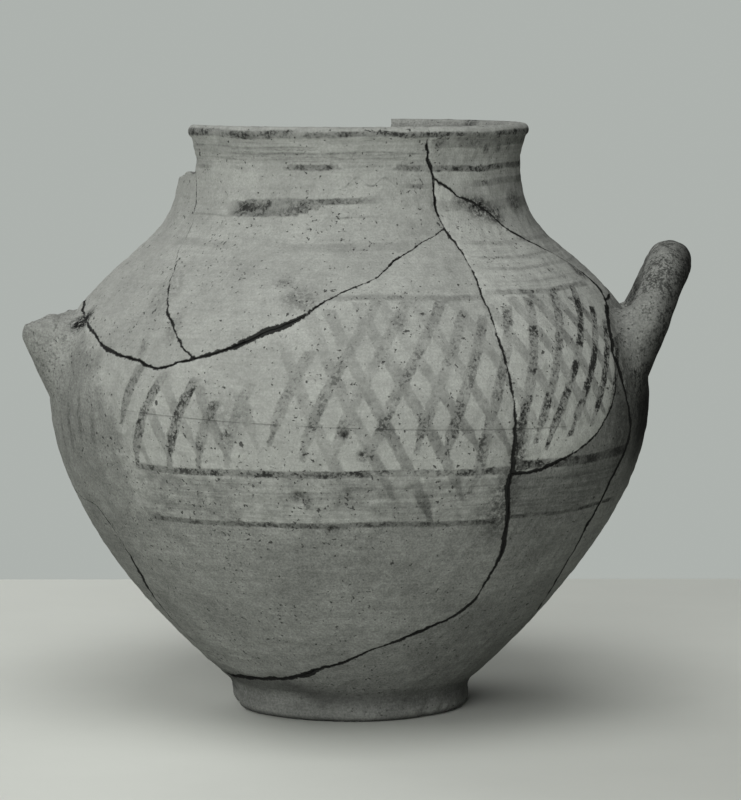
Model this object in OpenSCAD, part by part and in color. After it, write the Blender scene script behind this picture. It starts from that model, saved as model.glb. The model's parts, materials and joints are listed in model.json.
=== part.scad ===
// Wide-mouthed two-handled clay pot, mended from its sherds.
// Origin: centre of the ring that the pot stands on. +Z is up, the front faces -Y,
// and the whole handle is on +X. Angles run round the pot from the front towards +X.

/* [Body] */
// Radius of the body at its widest place
belly_r = 180; // [165:1:195]
// Height from the top of the foot to the widest place
belly_h = 174; // [155:1:195]
// Height from the widest place to the root of the neck
shoulder_h = 89; // [78:1:105]
// Thickness of the thrown wall
wall_t = 6.5; // [5:0.5:9]
// Thickness of the floor
floor_t = 8; // [6:0.5:11]
// How far up the lower wall keeps the full belly, as a share of its height
lower_fullness = 0.37; // [0.3:0.01:0.45]
// How far up the shoulder keeps the full belly, as a share of its height
shoulder_fullness = 0.5; // [0.4:0.01:0.6]

/* [Neck and rim] */
// Radius of the neck at its root, where the shoulder turns up
neck_root_r = 126; // [116:1:136]
// Radius of the neck at its narrowest
neck_r = 102; // [94:1:110]
// Height of the neck, from its root to the crest of the rim
neck_h = 73; // [62:1:88]
// How far the lip stands out past the neck
lip_out = 5; // [3:0.5:8]
// Radius of the rounded lip
lip_round = 4; // [3.5:0.25:5]

/* [Foot] */
// Outer radius of the ring foot
foot_r = 71.5; // [65:0.5:80]
// Height of the ring foot, from the table to its top edge
foot_h = 14; // [12:0.5:18]
// Radius of the foot's rounded outer edge
foot_round = 5.5; // [4:0.5:8]
// How far the foot stands out past the body that it carries
foot_out = 1.5; // [1:0.25:4]
// Width of the flat tread that rests on the table
tread_w = 14; // [10:0.5:18]
// Height of the hollow under the floor
recess_h = 9; // [7:0.5:11]

/* [Handles] */
// Diameter of the rolled clay of the handles
roll_d = 25.4; // [23:0.2:32]
// Distance from the handle's middle plane to the centre of each leg
leg_offset = 45; // [38:1:52]
// Height of the legs' roots above the widest place
root_rise = 20; // [14:1:26]
// Length of the loop along its slope, from the roots to the middle of the roll at its top
loop_len = 64; // [55:1:72]
// Slope of the right handle above the horizontal, in degrees
right_slope = 68; // [62:1:76]
// Slope of the left handle above the horizontal, in degrees
left_slope = 65; // [60:1:72]
// How deep the right handle's roots are pressed into the wall
right_press = 4.5; // [-2:0.5:7]
// How far the right handle is set askew, its rear leg further out than its front one, in degrees
right_turn = 4; // [0:0.5:8]
// How deep the left handle's roots are pressed into the wall, below zero where they stand off
left_press = 1; // [-3:0.5:3]
// Radius of the legs at the level of their roots
root_r = 17; // [15:0.5:20]
// Length over which a leg narrows from its root to the roll
root_taper = 30; // [20:1:40]
// Length of the broken left front leg, from the root to the middle of the break
front_stub_len = 30; // [14:1:34]
// Length of the broken left rear leg, from the root to the middle of the break
rear_stub_len = 24; // [14:1:34]
// Tilt of the breaks across the legs, in degrees
break_tilt = 3; // [0:1:20]

/* [Mending] */
// Width of the joins between the sherds
join_gap = 1.2; // [0.8:0.1:2]
// Depth of the adhesive below the wall's two faces
adhesive_recess = 1; // [0.5:0.1:2]
// Length that the adhesive stops short of each meeting of joins
adhesive_stop = 2.5; // [2:0.5:5]

/* [Hidden] */
$fn = 128;

clay = "#a9a69b";
shaded_clay = "#96938a";
old_glue = "#3b3733";

// Heights of the main stations of the profile
belly_z = foot_h + belly_h;
root_z = belly_z + shoulder_h;
pot_h = root_z + neck_h;

// Radii under the body
base_r = foot_r - foot_out;
underside_r = base_r - (foot_h - recess_h);

// Steps along each curve of the profile, and round the foot's edge
lower_steps = 12;
shoulder_steps = 8;
neck_steps = 6;
lip_steps = 6;
foot_steps = 4;

// Shares that place the control points of the profile's curves:
// the lower wall's first point, out from the base and up from the foot
lower_flare = 0.42;
lower_lift = 0.22;
// the shoulder's last point, out from the neck's root and down from it
shoulder_flare = 0.44;
shoulder_drop = 0.225;
// how far the shoulder's last stretch carries on past the neck's root
neck_carry = 0.58;
// where up the neck it turns upright, and where it is narrowest
neck_turn = 0.31;
neck_waist = 0.73;

// The lip's round section starts under its outer edge and turns over the crest, in degrees
lip_start = -60;
lip_sweep = 240;

// Control points of the profile's three curves, as [radius, height]
belly_point = [belly_r, belly_z];
lower_curve = [
    [base_r, foot_h],
    [base_r + lower_flare * (belly_r - base_r), foot_h + lower_lift * belly_h],
    [belly_r, belly_z - lower_fullness * belly_h],
    belly_point
];
neck_root = [neck_root_r, root_z];
shoulder_end = [
    neck_root_r + shoulder_flare * (belly_r - neck_root_r),
    root_z - shoulder_drop * shoulder_h
];
shoulder_curve = [
    belly_point,
    [belly_r, belly_z + shoulder_fullness * shoulder_h],
    shoulder_end,
    neck_root
];
neck_curve = [
    neck_root,
    neck_root + neck_carry * (neck_root - shoulder_end),
    [neck_r, root_z + neck_turn * neck_h],
    [neck_r, root_z + neck_waist * neck_h]
];

// Centre of the lip's round section
lip_centre = [neck_r + lip_out - lip_round, pot_h - lip_round];

function bezier(c, t) =
    pow(1 - t, 3) * c[0] + 3 * t * pow(1 - t, 2) * c[1] + 3 * t * t * (1 - t) * c[2] + pow(t, 3) * c[3];

function bezier_slope(c, t) =
    pow(1 - t, 2) * (c[1] - c[0]) + 2 * t * (1 - t) * (c[2] - c[1]) + t * t * (c[3] - c[2]);

function unit(v) = v / norm(v);

// A point of a profile curve, moved by depth into the wall
function curve_point(c, t, depth) =
    let (s = unit(bezier_slope(c, t)))
    bezier(c, t) + depth * [-s[1], s[0]];

// The profile from the foot to the neck's waist, at a depth into the wall
function skin(depth) = concat(
    [for (i = [0 : lower_steps - 1]) curve_point(lower_curve, i / lower_steps, depth)],
    [for (i = [0 : shoulder_steps - 1]) curve_point(shoulder_curve, i / shoulder_steps, depth)],
    [for (i = [0 : neck_steps]) curve_point(neck_curve, i / neck_steps, depth)]
);

function reversed(list) = [for (i = [len(list) - 1 : -1 : 0]) list[i]];

// The lip runs round from the outside of the neck, over the crest, to the inside
lip_arc = [for (i = [0 : lip_steps]) let (a = lip_start + lip_sweep * i / lip_steps)
    lip_centre + lip_round * [cos(a), sin(a)]];

outer_skin = skin(0);
wall_profile = concat(
    [[0, recess_h], [underside_r, recess_h]],
    outer_skin,
    lip_arc,
    reversed(skin(wall_t)),
    [[underside_r - wall_t / 2, recess_h + floor_t], [0, recess_h + floor_t]]
);

// The solid inside the outer skin, which the handles are seated against
envelope_profile = concat(
    [[0, recess_h], [underside_r, recess_h]],
    outer_skin,
    [[neck_r, pot_h], [0, pot_h]]
);

// The middle of the wall's thickness, which the adhesive keeps to
core_profile = concat(
    skin(adhesive_recess),
    [[neck_r - adhesive_recess, pot_h - lip_round], [neck_r - wall_t + adhesive_recess, pot_h - lip_round]],
    reversed(skin(wall_t - adhesive_recess))
);

// Outer radius of the wall at a height
radius_table = [for (p = outer_skin) [p[1], p[0]]];
function wall_r(z) = lookup(z, radius_table);

// Every join plane passes through one point on the axis, inside the belly
core = [0, 0, belly_z];
// Cutters reach this many times as far from that point as the wall does
cutter_reach = 3;

// A place on the wall, from [angle in degrees, height in percent of the pot's height], seen from the core
function wall_ray(p) =
    let (z = p[1] * pot_h / 100, r = wall_r(z))
    [r * sin(p[0]), -r * cos(p[0]), z] - core;

// Joins between the sherds, each from one meeting point to the next
join_neck = [[28, 91.5], [26, 94], [25, 97], [25, 104]];
join_throat = [[29, 83.5], [28, 86], [28, 88.5], [28, 91.5]];
join_shoulder_front = [
    [-30, 63.5], [-26, 64.3], [-22, 65.7], [-18, 67.3], [-14, 68.6], [-9, 70.5], [-6, 72.3],
    [0, 74.3], [5, 75.7], [11, 78.5], [17, 80.3], [23, 82], [29, 83.5]
];
join_shoulder_left = [
    [-118, 68.6], [-104, 70.5], [-90, 70], [-80, 69.5], [-73, 68.5], [-66, 66.8], [-60, 65.6],
    [-55, 64.3], [-50, 63.5], [-45, 62.8], [-40, 62], [-36, 62], [-30, 63.5]
];
join_neck_left = [
    [-63, 92], [-61, 89.5], [-58, 86.3], [-55, 83], [-53, 80], [-48, 77], [-44, 74.5],
    [-42, 72.3], [-39, 69], [-36, 67.4], [-33, 65.7], [-30, 63.5]
];
join_neck_right = [
    [28, 91.5], [32, 90.5], [36, 89], [43, 87.5], [49, 85.5], [53, 83.5], [58, 82],
    [64, 80.3], [71, 77.7], [75, 75], [76, 73], [73, 70.8]
];
join_body_front = [
    [29, 83.5], [31, 80.3], [31, 77.5], [30, 72], [30, 65.7], [30.5, 60], [31, 55], [31, 48], [31, 45]
];
join_tongue = [
    [31, 45], [35, 45], [38, 45.5], [42, 46.5], [46, 47.5], [51, 49.7], [55, 52.8], [58, 55.5],
    [59.5, 59], [61, 63]
];
join_short = [[61, 63], [64, 66.6], [73, 70.8]];
join_right = [
    [61, 63], [62, 59], [64, 53.7], [66, 49.4], [64, 44.6], [62, 41], [61, 37], [61, 29.7],
    [63, 24.8], [67, 20], [76, 15], [88, 11]
];
join_base_front = [
    [31, 45], [31, 42.3], [32, 39], [33, 35], [34, 31], [33, 25.5], [32, 22.6], [28, 20], [21, 18],
    [15, 16.3], [6, 14], [-2, 11.8], [-13, 9.9], [-22, 8.4], [-35, 7.4], [-59, 6.6], [-66, 6.4]
];
join_left = [
    [-66, 6.4], [-65, 13], [-64, 20.5], [-60, 27], [-60, 32], [-63, 36.5], [-72, 37.5],
    [-84, 39], [-98, 42], [-113, 48], [-119, 58], [-118, 68.6]
];
join_neck_back = [[73, 70.8], [84, 71.5], [98, 72], [112, 71], [126, 72], [140, 71.5]];
join_back_upright = [[140, 71.5], [138, 77], [141, 82.3]];
join_rim_back = [[141, 82.3], [136, 89], [133, 94.5], [130, 104]];
join_rim_root = [[141, 82.3], [150, 83.5], [160, 85], [171, 85.7]];
join_shoulder_back = [[242, 68.6], [240, 75], [246, 82], [244, 87.5], [248, 90.3]];
join_belly_right = [[140, 71.5], [152, 70.3], [168, 68.6]];
join_belly_left = [[168, 68.6], [185, 69.5], [205, 68], [225, 69], [242, 68.6]];
join_back = [
    [168, 68.6], [162, 61.5], [166, 54], [159, 46], [163, 37], [156, 28.5], [160, 20], [155, 13], [158, 8]
];
join_base_right = [[88, 11], [100, 8.6], [115, 9.4], [130, 7.7], [145, 8.9], [158, 8]];
join_base_back = [
    [158, 8], [175, 9.4], [195, 7.7], [215, 9.1], [235, 7.4], [255, 8.6], [275, 6.9], [294, 6.4]
];

// Free edges: the rim, and the breaks where the rest of the neck is lost
rim_front = [[25, 104], [-65, 104]];
rim_right = [[130, 104], [25, 104]];
rim_back = [[167, 104], [130, 104]];
break_front = [[-65, 104], [-64, 97], [-63, 92]];
break_left = [[-63, 92], [-72, 91.8], [-84, 92.2], [-98, 90.8], [-112, 90.3]];
break_rear = [[248, 90.3], [234, 89.5], [220, 90.8], [206, 89], [192, 90], [180, 88], [171, 85.7]];
break_back = [[171, 85.7], [170, 88], [171, 92], [167, 97], [167, 104]];

// One closed outline from edges that each start where the last one ended
function chain(edges) = [for (edge = edges) for (i = [0 : len(edge) - 2]) edge[i]];

// Direction that moves a corner away from both of the planes that meet there
function corner(a, b) = (a + b) / (1 + a * b);

// Corners of an outline, seen from the core and drawn in by half of the join
function drawn_in(outline) =
    let (
        rays = [for (p = outline) wall_ray(p)],
        n = len(rays),
        planes = [for (i = [0 : n - 1]) unit(cross(rays[i], rays[(i + 1) % n]))]
    )
    [for (i = [0 : n - 1]) rays[i] + join_gap / 2 * corner(planes[(i + n - 1) % n], planes[i])];

// Pyramid from the core through an outline that runs anticlockwise seen from outside.
// The aim is a place well inside the outline.
module pyramid(outline, aim) {
    rays = drawn_in(outline);
    n = len(rays);
    points = concat(
        [core],
        [for (ray = rays) core + cutter_reach * ray],
        [core + cutter_reach * wall_ray(aim)]
    );
    faces = concat(
        [for (i = [1 : n]) [0, i, i % n + 1]],
        [for (i = [1 : n]) [i % n + 1, i, n + 1]]
    );
    polyhedron(points, faces);
}

// A join's ends, moved in by the adhesive's stop
function shortened(rays) =
    let (
        last = len(rays) - 1,
        start = rays[0] + adhesive_stop * unit(rays[1] - rays[0]),
        end = rays[last] + adhesive_stop * unit(rays[last - 1] - rays[last])
    )
    [for (i = [0 : last]) i == 0 ? start : i == last ? end : rays[i]];

// Wedge from the core along one join, as wide as the join
module ribbon(join) {
    rays = shortened([for (p = join) wall_ray(p)]);
    n = len(rays);
    planes = [for (i = [0 : n - 2]) unit(cross(rays[i], rays[i + 1]))];
    sides = [for (i = [0 : n - 1]) corner(planes[max(i - 1, 0)], planes[min(i, n - 2)])];
    points = concat(
        [core],
        [for (i = [0 : n - 1]) core + cutter_reach * (rays[i] + join_gap / 2 * sides[i])],
        [for (i = [0 : n - 1]) core + cutter_reach * (rays[i] - join_gap / 2 * sides[i])]
    );
    faces = concat(
        [for (i = [1 : n - 1]) [0, i + 1, i]],
        [for (i = [1 : n - 1]) [0, n + i, n + i + 1]],
        [for (i = [1 : n - 1]) [i, i + 1, n + i]],
        [for (i = [1 : n - 1]) [i + 1, n + i + 1, n + i]],
        [[0, 1, n + 1], [0, 2 * n, n]]
    );
    polyhedron(points, faces);
}

module sherd(edges, aim) {
    intersection() {
        rotate_extrude() polygon(wall_profile);
        pyramid(chain(edges), aim);
    }
}

module adhesive(joins) {
    color(old_glue)
        intersection() {
            rotate_extrude() polygon(core_profile);
            union() for (join = joins) ribbon(join);
        }
}

module front_neck_sherd() {
    color(clay)
        sherd([join_shoulder_front, join_throat, join_neck, rim_front, break_front,
            join_neck_left], [-15, 84]);
}

module right_neck_sherd() {
    color(clay)
        sherd([join_neck_right, join_neck_back, join_back_upright, join_rim_back, rim_right,
            reversed(join_neck)], [80, 84]);
}

module rear_rim_sherd() {
    color(clay)
        sherd([join_rim_root, break_back, rim_back, reversed(join_rim_back)], [150, 93]);
}

module left_shoulder_sherd() {
    color(clay)
        sherd([join_shoulder_left, reversed(join_neck_left), break_left, reversed(join_shoulder_back)],
            [-75, 78]);
}

module right_shoulder_sherd() {
    color(clay)
        sherd([join_tongue, join_short, reversed(join_neck_right), reversed(join_throat), join_body_front],
            [48, 68]);
}

module rear_shoulder_sherd() {
    color(clay)
        sherd([join_belly_right, join_belly_left, join_shoulder_back, break_rear, reversed(join_rim_root),
            reversed(join_back_upright)], [190, 77]);
}

module front_body_sherd() {
    color(clay)
        sherd([reversed(join_base_front), reversed(join_body_front), reversed(join_shoulder_front),
            reversed(join_shoulder_left), reversed(join_left)], [-15, 42]);
}

module right_rear_sherd() {
    color(shaded_clay)
        sherd([join_base_right, reversed(join_back), reversed(join_belly_right), reversed(join_neck_back),
            reversed(join_short), join_right], [112, 42]);
}

module rear_left_sherd() {
    color(shaded_clay)
        sherd([join_base_back, join_left, reversed(join_belly_left), join_back], [225, 35]);
}

// The base holds the floor, a low ring of wall and a tongue up the front right
module base_sherd() {
    color(shaded_clay)
        sherd([reversed(join_tongue), join_base_front, reversed(join_base_back), reversed(join_base_right),
            reversed(join_right)], [54, 22]);
}

// The foot's tread and outside, closed along the underside of the body
module foot_ring() {
    edge_centre = [foot_r - foot_round, foot_round];
    edge = [for (i = [0 : foot_steps]) let (a = -90 + 90 * i / foot_steps)
        edge_centre + foot_round * [cos(a), sin(a)]];
    inner_r = foot_r - foot_round - tread_w;
    inner_slope = tread_w / 4;
    color(shaded_clay)
        rotate_extrude()
            polygon(concat(
                [[inner_r, 0]],
                edge,
                [[base_r, foot_h], [underside_r, recess_h], [inner_r + inner_slope, recess_h]]
            ));
}

// Puts a handle's own frame on the wall at +X: z runs up the loop's slope, from the roots
module on_wall(press, slope, turn) {
    height = belly_z + root_rise;
    out = sqrt(pow(wall_r(height), 2) - pow(leg_offset, 2)) - press;
    translate([out, 0, height]) rotate([0, 90 - slope, -turn]) children();
}

// One leg, from inside the wall up to a length past its root. Its spread root leans in,
// so that the leg's outer side stays straight.
module leg(length) {
    // Length below the root, enough to reach inside the wall all round
    sunk = 2 * roll_d;
    spread = (root_r - roll_d / 2) / root_taper;
    spread_h = root_taper + sunk;
    translate([0, 0, root_taper])
        rotate([0, atan(spread), 0])
            translate([0, 0, -spread_h])
                cylinder(r1 = roll_d / 2 + spread * spread_h, r2 = roll_d / 2, h = spread_h);
    translate([0, 0, -sunk]) cylinder(d = roll_d, h = sunk + length);
}

module seated_on_wall() {
    difference() {
        children();
        rotate_extrude() polygon(envelope_profile);
    }
}

// A whole loop: two legs and a half ring of the same roll
module right_handle() {
    straight = loop_len - leg_offset;
    color(shaded_clay)
        seated_on_wall()
            on_wall(right_press, right_slope, right_turn) {
                for (side = [-1, 1]) translate([0, side * leg_offset, 0]) leg(straight);
                translate([0, 0, straight])
                    rotate([90, 0, 90])
                        rotate_extrude(angle = 180) translate([leg_offset, 0]) circle(d = roll_d);
            }
}

// One leg of the lost handle, cut across by its break at a length past its root
module left_stub(side, length) {
    // Side of the block that keeps what is below the break, well past the leg all round
    block = 6 * root_r;
    seated_on_wall()
        mirror([1, 0, 0])
            on_wall(left_press, left_slope, 0)
                intersection() {
                    translate([0, side * leg_offset, 0]) leg(length + roll_d);
                    translate([0, side * leg_offset, length])
                        rotate([0, break_tilt, 0])
                            translate([0, 0, -block / 2]) cube(block, center = true);
                }
}

module left_handle_front_stub() {
    color(clay) left_stub(-1, front_stub_len);
}

module left_handle_rear_stub() {
    color(shaded_clay) left_stub(1, rear_stub_len);
}

module neck_adhesive() {
    adhesive([join_neck, join_throat, join_rim_back, join_rim_root]);
}

module shoulder_adhesive() {
    adhesive([join_shoulder_front, join_shoulder_left, join_neck_left, join_neck_right]);
}

module body_adhesive() {
    adhesive([join_body_front, join_tongue, join_short, join_right, join_left]);
}

module base_adhesive() {
    adhesive([join_base_front, join_base_right, join_base_back]);
}

module rear_adhesive() {
    adhesive([join_neck_back, join_back_upright, join_shoulder_back, join_belly_right, join_belly_left,
        join_back]);
}

front_neck_sherd();
right_neck_sherd();
rear_rim_sherd();
left_shoulder_sherd();
right_shoulder_sherd();
rear_shoulder_sherd();
front_body_sherd();
right_rear_sherd();
rear_left_sherd();
base_sherd();
foot_ring();
right_handle();
left_handle_front_stub();
left_handle_rear_stub();
neck_adhesive();
shoulder_adhesive();
body_adhesive();
base_adhesive();
rear_adhesive();
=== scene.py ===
"""Wide-mouthed two-handled clay pot, mended from its sherds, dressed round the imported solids.

Shapes are worked out in millimetres and go into the meshes in metres. A place on the wall is an angle
round the pot, from the front towards +X, and a run: the length along the outer profile from the middle
of the underside. Joins and breaks are lists of (angle in degrees, height in percent of the pot's height).
"""

import json
import math

import bpy
import numpy as np
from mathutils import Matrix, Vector
from mathutils.geometry import delaunay_2d_cdt

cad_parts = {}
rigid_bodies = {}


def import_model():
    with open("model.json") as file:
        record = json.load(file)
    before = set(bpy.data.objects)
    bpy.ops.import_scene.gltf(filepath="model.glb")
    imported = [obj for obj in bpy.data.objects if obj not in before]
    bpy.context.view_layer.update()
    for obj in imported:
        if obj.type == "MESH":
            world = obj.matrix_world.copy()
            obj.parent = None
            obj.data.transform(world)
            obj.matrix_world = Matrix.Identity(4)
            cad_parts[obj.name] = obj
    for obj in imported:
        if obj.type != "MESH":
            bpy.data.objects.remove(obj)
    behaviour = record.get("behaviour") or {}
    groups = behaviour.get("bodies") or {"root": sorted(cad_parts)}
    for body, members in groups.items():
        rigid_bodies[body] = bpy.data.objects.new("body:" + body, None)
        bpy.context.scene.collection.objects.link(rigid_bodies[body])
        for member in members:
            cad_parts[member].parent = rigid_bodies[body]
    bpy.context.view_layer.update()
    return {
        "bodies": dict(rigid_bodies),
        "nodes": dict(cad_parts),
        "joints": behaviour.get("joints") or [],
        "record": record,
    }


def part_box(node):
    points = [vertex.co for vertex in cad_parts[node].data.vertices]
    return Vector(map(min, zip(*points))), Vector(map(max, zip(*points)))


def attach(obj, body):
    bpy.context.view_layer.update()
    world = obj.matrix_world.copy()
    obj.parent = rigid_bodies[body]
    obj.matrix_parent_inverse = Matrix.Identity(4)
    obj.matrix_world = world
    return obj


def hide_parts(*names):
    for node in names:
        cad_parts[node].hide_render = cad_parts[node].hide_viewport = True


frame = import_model()

MM = 0.001
SEED = 1450

# Sizes of the pot in mm, the same as in the solids
POT_H = 350.0
FOOT_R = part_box("foot_ring")[1].x / MM
FOOT_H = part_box("foot_ring")[1].z / MM
BELLY_R = -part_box("front_body_sherd")[0].y / MM
BELLY_Z = 188.0
NECK_ROOT = (126.0, 277.0)
NECK_R = 102.0
NECK_WAIST_Z = 330.3
LIP_CENTRE = (103.0, 346.0)
LIP_ROUND = 4.0
LIP_START = -60.0
WALL_T = 6.5
RECESS_H = 9.0
FLOOR_T = 8.0
FOOT_OUT = 1.5
TREAD_W = 14.0
FOOT_ROUND = 5.5

# Handles in mm and degrees
ROLL_R = 12.7
LEG_OFFSET = 45.0
ROOT_Z = 208.0
LOOP_LEN = 64.0
ROOT_R = 17.0
ROOT_TAPER = 30.0
STUB_LEN = {-1: 30.0, 1: 24.0}
BREAK_TILT = 3.0
BREAK_WEAR = 6.0
RIGHT_SLOPE, RIGHT_PRESS, RIGHT_TURN = 68.0, 4.5, 4.0
LEFT_SLOPE, LEFT_PRESS, LEFT_TURN = 65.0, 1.0, 0.0

# Spacing of the mesh points in mm: along the breaks, over the outer skin and over the inner skin
EDGE_STEP = 1.3
OUTER_STEP = 1.6
INNER_STEP = 4.0

# Points round a handle's roll and round the foot, and rows of the broken wall as shares of its thickness
ROLL_POINTS = 72
ROLL_TURN = np.linspace(0, 2 * np.pi, ROLL_POINTS, endpoint=False)
FOOT_POINTS = 420
WALL_ROWS = np.array([0.3, 0.5, 0.7, 0.88])

# Clay smeared up against the legs, in mm: how far from a leg, how thick at most, and how far under its skin
COLLAR_REACH, COLLAR_MOST, COLLAR_UNDER = 26.0, 12.0, 0.8

# Width in mm of the blend on the inner side of the right handle's legs and of the left one's
INNER_BLEND_RIGHT, INNER_BLEND_LEFT = 15, 24

# Depth of a leg's end in the wall, and of the lower end of its roll below its root, in mm
SEAT_DEPTH = 2.5
LEG_END = 15.0

# Length in mm over which a leg's taper starts softly, and how far the foot's hollow side goes up the wall
TAPER_SOFT = 5.0
FOOT_HOLLOW = 6.5

# Section of a bead of glue: share of its half width, and depth below its top, or None at its lower face,
# which lies at BEAD_DEPTH; the depths are shares of the wall's thickness
BEAD_SECTION = [(-1, 0.03), (-0.4, 0), (0.4, 0), (1, 0.03), (1, None), (-1, None)]
BEAD_DEPTH = 0.88

# Dents in the foot: angle and half width in degrees, depth in mm
FOOT_DENTS = [(-78, 9, 2.6), (40, 3, 1.0)]


def grade(value, start, end):
    """Share that goes straight from 0 at start to 1 at end, and stays there."""
    return np.clip((value - start) / (end - start), 0, 1)


def hump(value, middle, half, power=2):
    """Share that is 1 at the middle: e to minus a power of the distance from it over half."""
    return np.exp(-((value - middle) / half) ** power)


def halving(before, low, high, count):
    """Low and high brought together round the value up to which before is true, by halving count times."""
    for step in range(count):
        middle = (low + high) / 2
        below = before(middle)
        low, high = np.where(below, middle, low), np.where(below, high, middle)
    return low, high


# Profile of the wall


def bezier(points, count):
    """Cubic curve: four points weighted by the Bernstein polynomials of t, at even steps of t."""
    t = np.linspace(0, 1, count)[:, None]
    a, b, c, d = np.array(points, float)
    return (1 - t) ** 3 * a + 3 * t * (1 - t) ** 2 * b + 3 * t * t * (1 - t) * c + t ** 3 * d


def straight(start, end, count):
    """Points at even steps from start to end."""
    t = np.linspace(0, 1, count)[:, None]
    return (1 - t) * np.array(start) + t * np.array(end)


def arc(centre, radius, start, end, count):
    """Circle: centre plus radius times (cosine, sine) of an angle that goes from start to end."""
    angle = np.radians(np.linspace(start, end, count))[:, None]
    return np.array(centre) + radius * np.hstack([np.cos(angle), np.sin(angle)])


def left_normals(curve):
    """Unit vectors a quarter turn to the left of the curve's direction of travel."""
    slope = np.gradient(curve, axis=0)
    slope /= np.linalg.norm(slope, axis=1, keepdims=True)
    return np.column_stack([-slope[:, 1], slope[:, 0]])


def wall_skins():
    """Outer and inner skin of the wall as [radius, height] rows that pair up, from the axis to the crest."""
    base = (FOOT_R - FOOT_OUT, FOOT_H)
    under_r = base[0] - (FOOT_H - RECESS_H)
    belly = (BELLY_R, BELLY_Z)
    lower = [base, (116.2, 52.3), (BELLY_R, 123.6), belly]
    shoulder = [belly, (BELLY_R, 232.5), (149.8, 257.0), NECK_ROOT]
    neck = [NECK_ROOT, (112.2, 288.6), (NECK_R, 299.6), (NECK_R, NECK_WAIST_Z)]
    wall = np.vstack([bezier(lower, 90), bezier(shoulder, 60)[1:], bezier(neck, 50)[1:]])
    inner_wall = wall + WALL_T * left_normals(wall)
    floor_r = under_r - WALL_T / 2
    floor_z = RECESS_H + FLOOR_T
    lip_outer = arc(LIP_CENTRE, LIP_ROUND, LIP_START, 90, 20)
    lip_inner = arc(LIP_CENTRE, LIP_ROUND, 180, 90, 20)
    outer = np.vstack([
        straight((0, RECESS_H), (under_r, RECESS_H), 30),
        straight((under_r, RECESS_H), base, 6)[1:-1],
        wall,
        straight(wall[-1], lip_outer[0], 12)[1:-1],
        lip_outer,
    ])
    inner = np.vstack([
        straight((0, floor_z), (floor_r, floor_z), 30),
        straight((floor_r, floor_z), inner_wall[0], 6)[1:-1],
        inner_wall,
        straight(inner_wall[-1], lip_inner[0], 12)[1:-1],
        lip_inner,
    ])
    return outer, inner


OUTER, INNER = wall_skins()
RUN = np.concatenate([[0], np.cumsum(np.linalg.norm(np.diff(OUTER, axis=0), axis=1))])
RUN_TOP = RUN[-1]
CREST_RUN = RUN_TOP - 1e-3
OUTWARD = -left_normals(OUTER)
WALL_START = int(np.argmax(OUTER[:, 1] >= FOOT_H))


def run_at(height):
    """Run of the wall at a height in mm."""
    return np.interp(height, OUTER[WALL_START:, 1], RUN[WALL_START:])


def radius_at(run):
    """Outer radius at a run."""
    return np.interp(run, RUN, OUTER[:, 0])


def height_at(run):
    """Outer height at a run."""
    return np.interp(run, RUN, OUTER[:, 1])


def wall_radius(height):
    """Outer radius of the wall at a height in mm."""
    return radius_at(run_at(height))


def turned(angle, radius, height):
    """Points (radius sin angle, -radius cos angle, height)."""
    return np.column_stack([radius * np.sin(angle), -radius * np.cos(angle), height])


def wall_points(angle, run, depth, lift):
    """Points of the wall: between the two skins by depth, moved by lift along the outward normal."""
    radius = (1 - depth) * radius_at(run) + depth * np.interp(run, RUN, INNER[:, 0])
    height = (1 - depth) * height_at(run) + depth * np.interp(run, RUN, INNER[:, 1])
    radius = radius + lift * np.interp(run, RUN, OUTWARD[:, 0])
    height = height + lift * np.interp(run, RUN, OUTWARD[:, 1])
    return turned(angle, radius, height)


# Irregularity, from seeds, so that it comes out the same each time


def wander(length, pitch, rng):
    """Random line along a length in mm: a normal value every pitch, joined by straight stretches."""
    knots = np.arange(0, length[-1] + 2 * pitch, pitch)
    return np.interp(length, knots, rng.normal(size=len(knots)))


def ripples(points, pitch, count, rng):
    """Sum of random plane waves with lengths round a pitch in mm, scaled to a spread of about 1."""
    directions = rng.normal(size=(count, points.shape[1]))
    directions /= np.linalg.norm(directions, axis=1, keepdims=True)
    waves = 2 * np.pi / (pitch * rng.uniform(0.7, 1.5, count))
    phases = rng.uniform(0, 2 * np.pi, count)
    return np.cos(points @ (directions * waves[:, None]).T + phases).sum(axis=1) / math.sqrt(count / 2)


def wrapped(angle):
    """Angles in radians brought between minus and plus half a turn."""
    return (angle + np.pi) % (2 * np.pi) - np.pi


def throwing(angle, run):
    """Slow unevenness of the thrown wall in mm: three waves round the pot that drift up the profile."""
    uneven = 0.45 * np.cos(2 * angle + 0.7) + 0.3 * np.cos(3 * angle - run / 70)
    uneven += 0.22 * np.cos(angle + run / 21)
    return uneven * grade(run, RUN_TOP, RUN_TOP - 60) * grade(run, 90, 150)


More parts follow.
